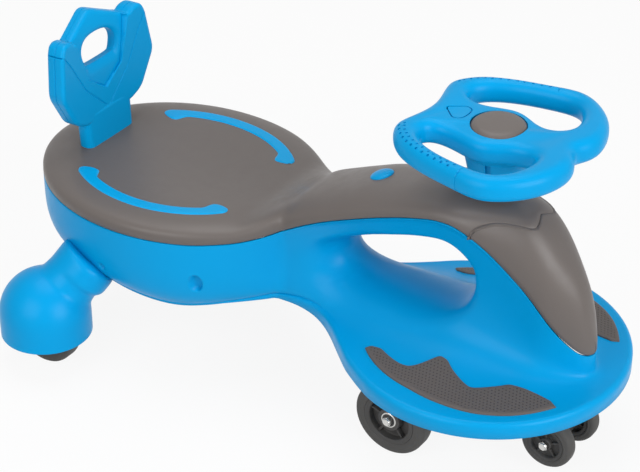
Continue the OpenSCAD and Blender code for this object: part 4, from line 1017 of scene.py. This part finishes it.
def build_nut():
    """Lock nut: a hexagon with bevelled ends and a rounded collar round the bolt's end."""
    bm = bmesh.new()
    flat, depth = 5.0 / math.cos(math.pi / 6), 3.6
    bmesh.ops.create_cone(bm, cap_ends=True, segments=6, radius1=flat, radius2=flat, depth=depth)
    bmesh.ops.translate(bm, vec=(0, 0, depth / 2), verts=bm.verts)
    bevelled(bm, bm.edges[:], 0.45)
    collar = [(0, 3.0), (4.6, 3.0), (4.5, 4.1), (4.1, 4.7), (3.4, 4.9), (3.0, 4.7), (2.4, 4.75), (0, 4.8)]
    return joined(bm, turned(collar, 40))


def feed(tree, node, inputs):
    """Sets a node's inputs, by name or place, to constants or to other nodes' outputs."""
    for key, value in inputs.items():
        if isinstance(value, bpy.types.NodeSocket):
            tree.links.new(value, node.inputs[key])
        else:
            node.inputs[key].default_value = value
    return node


def add(tree, kind, inputs=None, **settings):
    """A new node with its settings and inputs."""
    node = tree.nodes.new(kind)
    for key, value in settings.items():
        setattr(node, key, value)
    return feed(tree, node, inputs or {})


def calc(tree, operation, *values):
    """The output of one calculation on constants or other outputs."""
    return add(tree, "ShaderNodeMath", dict(enumerate(values)), operation=operation).outputs[0]


def node_group(name, inputs, outputs):
    """A shader group with sockets for named values, with its inputs' outputs and its end node."""
    group = bpy.data.node_groups.new(name, "ShaderNodeTree")
    for way, sockets in (("INPUT", inputs), ("OUTPUT", outputs)):
        for label, value in sockets.items():
            kind = "NodeSocketFloat" if isinstance(value, float) else "NodeSocketColor"
            group.interface.new_socket(name=label, in_out=way, socket_type=kind).default_value = value
    return group, group.nodes.new("NodeGroupInput").outputs, group.nodes.new("NodeGroupOutput")


def seen_rays(tree):
    """One for a ray by which the surroundings are seen, and nothing for a ray that lights the car."""
    path = tree.nodes.new("ShaderNodeLightPath").outputs
    seen = calc(tree, "MAXIMUM", path["Is Camera Ray"], path["Is Glossy Ray"])
    return calc(tree, "MAXIMUM", seen, path["Is Transmission Ray"])


GREY, WHITE = (0.5, 0.5, 0.5, 1), (1, 1, 1, 1)


def moulded_group():
    """Fine moulding grain, slow colour drift and light rubbing of a plastic face."""
    g, enter, leave = node_group(
        "moulded_face", {"Colour": GREY, "Drift": 0.06, "Grain": 1400.0, "Rough low": 0.3, "Rough high": 0.4},
        {"Colour": GREY, "Roughness": 0.0, "Height": 0.0})
    place = g.nodes.new("ShaderNodeTexCoord").outputs["Object"]
    slow, fine, rub = (add(g, "ShaderNodeTexNoise", {"Vector": place, **values}).outputs["Fac"] for values in (
        {"Scale": 7.0, "Detail": 3.0}, {"Scale": enter["Grain"], "Detail": 2.0},
        {"Scale": 60.0, "Detail": 6.0, "Roughness": 0.65}))
    drift = calc(g, "MULTIPLY", calc(g, "SUBTRACT", slow, 0.5), enter["Drift"])
    tone = add(g, "ShaderNodeHueSaturation", {"Color": enter["Colour"], "Value": calc(g, "ADD", drift, 1.0)})
    rough = add(g, "ShaderNodeMapRange", {"Value": rub, "From Min": 0.3, "From Max": 0.7,
                                          "To Min": enter["Rough low"], "To Max": enter["Rough high"]})
    feed(g, leave, {"Colour": tone.outputs["Color"], "Roughness": rough.outputs["Result"], "Height": fine})
    return g


def dimple_group():
    """A staggered field of small round dimples, seen from above."""
    g, enter, leave = node_group("dimple_field", {"Pitch": 0.0042, "Size": 0.26}, {"Mask": 0.0})
    parts = add(g, "ShaderNodeSeparateXYZ", {0: g.nodes.new("ShaderNodeTexCoord").outputs["Object"]}).outputs
    u, v = (calc(g, "DIVIDE", parts[axis], enter["Pitch"]) for axis in "XY")
    odd = calc(g, "MULTIPLY", calc(g, "MODULO", calc(g, "FLOOR", v), 2.0), 0.5)
    du, dv = (calc(g, "SUBTRACT", calc(g, "FRACT", w), 0.5) for w in (calc(g, "ADD", u, odd), v))
    far = calc(g, "SQRT", calc(g, "ADD", calc(g, "MULTIPLY", du, du), calc(g, "MULTIPLY", dv, dv)))
    edge = add(g, "ShaderNodeMapRange", {"Value": far, "From Min": calc(g, "MULTIPLY", enter["Size"], 0.55),
                                         "From Max": enter["Size"], "To Min": 1.0, "To Max": 0.0},
               interpolation_type="SMOOTHSTEP")
    feed(g, leave, {"Mask": edge.outputs["Result"]})
    return g


# Finishes: material, colour drift, grain's scale, roughness from and to, grain's strength and height, and the gloss
FINISHES = {
    "shell": ("shell_blue", 0.05, 260.0, 0.28, 0.38, 0.02, 0.0003, 0.1),
    "stripe": ("stripe_blue", 0.04, 260.0, 0.3, 0.4, 0.02, 0.0003, 0.14),
    "cover": ("cover_grey", 0.08, 420.0, 0.33, 0.45, 0.06, 0.0003, 0.3),
    "pad": ("pad_grey", 0.08, 420.0, 0.42, 0.54, 0.05, 0.0003, 0.14),
    "tyre": ("tyre_dark", 0.16, 420.0, 0.5, 0.66, 0.1, 0.0003, 0.14),
    "core": ("core_black", 0.1, 420.0, 0.38, 0.5, 0.06, 0.0003, 0.14),
    "bush": ("bush_dark", 0.08, 420.0, 0.4, 0.5, 0.05, 0.0003, 0.14),
    "steel": ("bright_steel", 0.15, 2500.0, 0.18, 0.36, 0.1, 0.0002, None),
}


def dimples_with_painted_shade(tree, shader):
    """Adds the field of dimples to a finish, as dents and as painted shade: the colour is darkened inside each
    dimple.
    """
    colour, normal = (shader.inputs[key].links[0].from_socket for key in ("Base Color", "Normal"))
    field = add(tree, "ShaderNodeGroup", node_tree=dimple_group())
    inside = add(tree, "ShaderNodeAttribute", attribute_name="dimpled")
    mask = calc(tree, "MULTIPLY", field.outputs["Mask"], inside.outputs["Fac"])
    dent = add(tree, "ShaderNodeBump", {"Strength": 0.8, "Distance": 0.0007, "Height": mask, "Normal": normal},
               invert=True)
    # painted shade: inside each dimple the pad's colour is multiplied towards a mid grey, where its hollow would
    # lie in shade
    shade = add(tree, "ShaderNodeMix", {0: mask, 6: colour, 7: (0.42, 0.42, 0.42, 1)}, data_type="RGBA",
                blend_type="MULTIPLY")
    feed(tree, shader, {"Base Color": shade.outputs[2], "Normal": dent.outputs["Normal"]})


def finish(look):
    """One of the car's materials, made when it is first asked for."""
    name, drift, grain, low, high, strength, height, gloss = FINISHES[look]
    if name in bpy.data.materials:
        return bpy.data.materials[name]
    material = bpy.data.materials.new(name)
    material.use_nodes = True
    tree = material.node_tree
    colour = tuple(getattr(bpy.context.scene.car_colours, look))
    face = add(tree, "ShaderNodeGroup", node_tree=bpy.data.node_groups.get("moulded_face") or moulded_group())
    feed(tree, face, {"Colour": colour, "Drift": drift, "Grain": grain, "Rough low": low, "Rough high": high})
    made = face.outputs
    bump = add(tree, "ShaderNodeBump", {"Strength": strength, "Distance": height, "Height": made["Height"]})
    shader = feed(tree, tree.nodes["Principled BSDF"], {
        "Base Color": made["Colour"], "Roughness": made["Roughness"], "Normal": bump.outputs["Normal"]})
    feed(tree, shader, {"Metallic": 1.0} if gloss is None else {"Specular IOR Level": gloss, "IOR": 1.48})
    # The foot pads get their dimples as dents and as painted shade
    if look == "pad":
        dimples_with_painted_shade(tree, shader)
    return material


def colour(name, description, *default):
    return FloatVectorProperty(name=name, description=description, subtype="COLOR", size=4, min=0, max=1,
                               default=(*default, 1))


class CarColours(PropertyGroup):
    """Colours of the car's mouldings and metal."""

    shell: colour("Shell", "Blue of the shells, legs and steering wheel", 0.0, 0.285, 0.6)
    stripe: colour("Stripes", "Blue of the seat's inlaid stripes", 0.0, 0.31, 0.64)
    cover: colour("Covers", "Warm grey of the seat, neck and nose covers", 0.115, 0.100, 0.093)
    pad: colour("Foot pads", "Warm grey of the dimpled foot pads", 0.105, 0.092, 0.086)
    tyre: colour("Tyres", "Dark grey of the tyres", 0.075, 0.073, 0.07)
    core: colour("Wheel cores", "Near black of the wheel cores", 0.066, 0.064, 0.062)
    bush: colour("Bushes", "Dark grey of the bushes and the yoke", 0.03, 0.03, 0.03)
    steel: colour("Steel", "Colour of axles, nuts and bearings", 0.62, 0.62, 0.60)


class CarSizes(PropertyGroup):
    """Sizes of the visible finish that don't change the frame."""

    shell_wall: FloatProperty(name="Shell wall", description="Wall of the blue shell and legs", unit="LENGTH",
                              default=0.003)
    cover_wall: FloatProperty(name="Cover wall", description="Wall of the grey covers", unit="LENGTH",
                              default=0.0025)


class CarStage(PropertyGroup):
    """Camera of the picture."""

    azimuth: FloatProperty(name="Azimuth", description="Camera's turn round the car", subtype="ANGLE",
                           default=math.radians(34.04))
    elevation: FloatProperty(name="Elevation", description="Camera's height angle", subtype="ANGLE",
                             default=math.radians(32.2))
    distance: FloatProperty(name="Distance", description="Camera's distance from its target", unit="LENGTH",
                            default=2.3973)
    lens: FloatProperty(name="Lens", description="Focal length in millimetres on a 36 mm sensor", default=118.125)


class CAR_OT_shell(Operator):
    """Blue shell: tub, neck sides and foot plate with the arch opening."""

    bl_idname = "car.shell"
    bl_label = "Shell"

    def execute(self, context):
        piece = new_piece("tub_shell", build_shell(), "chassis", "shell_plastic", finish("shell"), ["body_shell"])
        wall(piece, context.scene.car_sizes.shell_wall)
        return {"FINISHED"}


class CAR_OT_covers(Operator):
    """Grey seat and nose covers."""

    bl_idname = "car.covers"
    bl_label = "Covers"

    def execute(self, context):
        for name, make in (("seat", build_seat), ("nose", build_nose)):
            piece = new_piece(f"{name}_skin", make(), "chassis", "cover_plastic", finish("cover"),
                              [f"{name}_cover"])
            wall(piece, context.scene.car_sizes.cover_wall)
        return {"FINISHED"}


class CAR_OT_trim(Operator):
    """Seat stripes, foot pads and the plug on the neck."""

    bl_idname = "car.trim"
    bl_label = "Stripes, pads and plug"

    def execute(self, context):
        for make, name, node, slot, look in ((build_stripe, "stripe", "seat_stripe", "shell_plastic", "stripe"),
                                             (build_pad, "pad", "foot_pad", "pad_rubber", "pad")):
            bm = make()
            for (side, _), shape in zip(SIDES, (bm, twin(bm))):
                new_piece(f"{name}_skin_{side}", shape, "chassis", slot, finish(look), [f"{node}_{side}"])
        new_piece("plug_lens", build_plug(), "chassis", "shell_plastic", finish("shell"), ["neck_plug"], 40)
        return {"FINISHED"}


class CAR_OT_backrest(Operator):
    """Backrest with its hand hole."""

    bl_idname = "car.backrest"
    bl_label = "Backrest"

    def execute(self, context):
        new_piece("backrest_shell", build_backrest(), "chassis", "shell_plastic", finish("shell"), ["backrest"], 35)
        return {"FINISHED"}


class CAR_OT_legs(Operator):
    """Rear legs with their bells."""

    bl_idname = "car.legs"
    bl_label = "Rear legs"

    def execute(self, context):
        bm = build_leg()
        for (side, _), shape in zip(SIDES, (bm, twin(bm))):
            piece = new_piece(f"leg_shell_{side}", shape, "chassis", "shell_plastic", finish("shell"),
                              [f"rear_leg_{side}"])
            wall(piece, context.scene.car_sizes.shell_wall)
        return {"FINISHED"}


class CAR_OT_steering(Operator):
    """Steering wheel and hub cap."""

    bl_idname = "car.steering"
    bl_label = "Steering wheel"

    def execute(self, context):
        new_piece("steering_rim", build_steering(), "steering", "shell_plastic", finish("shell"),
                  ["steering_wheel"], 40)
        new_piece("cap_dome", build_cap(), "steering", "cover_plastic", finish("cover"), ["hub_cap"], 40)
        return {"FINISHED"}


class CAR_OT_wheels(Operator):
    """Six wheels: tyres, cores and ball races."""

    bl_idname = "car.wheels"
    bl_label = "Wheels"

    def execute(self, context):
        for name, (sizes, (x, y, z)) in WHEELS.items():
            radius, width, bore = sizes[:3]
            for side, sign in SIDES:
                parts = [("tyre", build_tyre(radius, width), "tyre", "tyre"),
                         ("core", build_core(*sizes), "wheel_core", "core")]
                if bore > BEARING_BORE:
                    parts.append(("bearings", build_bearings(width), "hardware_steel", "steel"))
                for part, bm, slot, look in parts:
                    node = f"{name}_{part}_{side}"
                    set_up(bm, (0, sign, 0), (x, sign * y, z))
                    new_piece(f"{node}_form", bm, f"{name}_wheel_{side}", slot, finish(look), [node], 35)
        return {"FINISHED"}


class CAR_OT_hardware(Operator):
    """Axle nuts, and the finishes of the pieces that keep their frame shape."""

    bl_idname = "car.hardware"
    bl_label = "Hardware"

    def execute(self, context):
        nuts = joined(*(set_up(build_nut(), (0, sign, 0), (153, sign * 100.6, 45)) for _, sign in SIDES))
        new_piece("front_nuts_form", nuts, "steering", "hardware_steel", finish("steel"), ["front_axle_nuts"], 35)
        nut = set_up(build_nut(), (0, -1, 0), (315, -37.6, 41))
        new_piece("tip_nut_form", nut, "steering", "hardware_steel", finish("steel"), ["tip_axle_nut"], 35)
        looks = {"lower_bush": "bush", "upper_bush": "bush", "front_yoke": "bush"}
        for name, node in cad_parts.items():
            if node.hide_render:
                continue
            material = finish(looks.get(name, "steel"))
            if not node.material_slots:
                node.data.materials.append(material)
            for slot in node.material_slots:
                slot.material = material
        return {"FINISHED"}


# Lamps in metres and watts: place, width and power
LAMPS = {"key": ((-0.2, -2.3, 1.4), 1.7, 33.0), "top": ((-0.3, 0.3, 2.5), 1.8, 32.0),
         "fill": ((3.2, -0.7, 1.5), 2.0, 92.0)}
LAMP_AIM, CAMERA_AIM = Vector((0, 0, 0.15)), Vector((-0.0057, 0, 0.17792))


class CAR_OT_stage(Operator):
    """Floor, light and camera."""

    bl_idname = "car.stage"
    bl_label = "Stage"

    def execute(self, context):
        self.lay_floor(context.scene)
        self.light(context.scene)
        self.aim(context.scene, context.scene.car_stage)
        context.scene.view_settings.view_transform = "Standard"
        return {"FINISHED"}

    def lay_floor(self, scene):
        bm = bmesh.new()
        bmesh.ops.create_circle(bm, cap_ends=True, segments=96, radius=6.0)
        mesh = bpy.data.meshes.new("studio_floor")
        bm.to_mesh(mesh)
        bm.free()
        floor = bpy.data.objects.new("studio_floor", mesh)
        scene.collection.objects.link(floor)
        material = bpy.data.materials.new("floor_white")
        material.use_nodes = True
        tree = material.node_tree
        shader = feed(tree, tree.nodes["Principled BSDF"], {
            "Base Color": (0.7, 0.7, 0.7, 1), "Roughness": 0.9, "Specular IOR Level": 0.0})
        glow = add(tree, "ShaderNodeEmission", {"Color": WHITE, "Strength": 1.0})
        share = calc(tree, "MULTIPLY", seen_rays(tree), 0.9)
        mix = add(tree, "ShaderNodeMixShader", {0: share, 1: shader.outputs[0], 2: glow.outputs[0]})
        feed(tree, tree.nodes["Material Output"], {"Surface": mix.outputs[0]})
        mesh.materials.append(material)

    def light(self, scene):
        scene.world = bpy.data.worlds.new("studio")
        scene.world.use_nodes = True
        sky = scene.world.node_tree
        dim = feed(sky, sky.nodes["Background"], {"Color": WHITE, "Strength": 0.28})
        white = add(sky, "ShaderNodeBackground", {"Color": WHITE, "Strength": 1.0})
        mix = add(sky, "ShaderNodeMixShader", {0: seen_rays(sky), 1: dim.outputs[0], 2: white.outputs[0]})
        feed(sky, sky.nodes["World Output"], {"Surface": mix.outputs[0]})
        for name, (place, size, power) in LAMPS.items():
            lamp = bpy.data.lights.new(name, "AREA")
            lamp.energy, lamp.size = power, size
            light = bpy.data.objects.new(name, lamp)
            light.location = place
            light.rotation_euler = (LAMP_AIM - Vector(place)).to_track_quat("-Z", "Y").to_euler()
            scene.collection.objects.link(light)

    def aim(self, scene, settings):
        a, e = settings.azimuth, settings.elevation
        back = Vector((math.sin(a) * math.cos(e), -math.cos(a) * math.cos(e), math.sin(e)))
        right = Vector((math.cos(a), math.sin(a), 0))
        camera = bpy.data.cameras.new("camera")
        camera.sensor_width, camera.lens, camera.sensor_fit = 36.0, settings.lens, "HORIZONTAL"
        shot = bpy.data.objects.new("camera", camera)
        turn = Matrix((right, back.cross(right), back)).transposed().to_4x4()
        shot.matrix_world = Matrix.Translation(CAMERA_AIM + back * settings.distance) @ turn
        scene.collection.objects.link(shot)
        scene.camera = shot


class CAR_PT_panel(Panel):
    """Lists the car's settings and its building steps."""

    bl_idname = "CAR_PT_panel"
    bl_label = "Wiggle Car"
    bl_space_type = "VIEW_3D"
    bl_region_type = "UI"
    bl_category = "Wiggle Car"

    def draw(self, context):
        layout = self.layout
        for group in (context.scene.car_colours, context.scene.car_sizes, context.scene.car_stage):
            for key in group.__annotations__:
                layout.prop(group, key)
        for step in STEPS:
            layout.operator(step.bl_idname)


STEPS = (CAR_OT_shell, CAR_OT_covers, CAR_OT_trim, CAR_OT_backrest, CAR_OT_legs, CAR_OT_steering, CAR_OT_wheels,
         CAR_OT_hardware, CAR_OT_stage)
CLASSES = (CarColours, CarSizes, CarStage) + STEPS + (CAR_PT_panel,)


def register():
    for cls in CLASSES:
        bpy.utils.register_class(cls)
    bpy.types.Scene.car_colours = PointerProperty(type=CarColours)
    bpy.types.Scene.car_sizes = PointerProperty(type=CarSizes)
    bpy.types.Scene.car_stage = PointerProperty(type=CarStage)


def unregister():
    del bpy.types.Scene.car_stage, bpy.types.Scene.car_sizes, bpy.types.Scene.car_colours
    for cls in reversed(CLASSES):
        bpy.utils.unregister_class(cls)


def main():
    register()
    bpy.ops.car.shell()
    bpy.ops.car.covers()
    bpy.ops.car.trim()
    bpy.ops.car.backrest()
    bpy.ops.car.legs()
    bpy.ops.car.steering()
    bpy.ops.car.wheels()
    bpy.ops.car.hardware()
    bpy.ops.car.stage()
    bpy.context.view_layer.update()


if __name__ == "__main__":
    main()
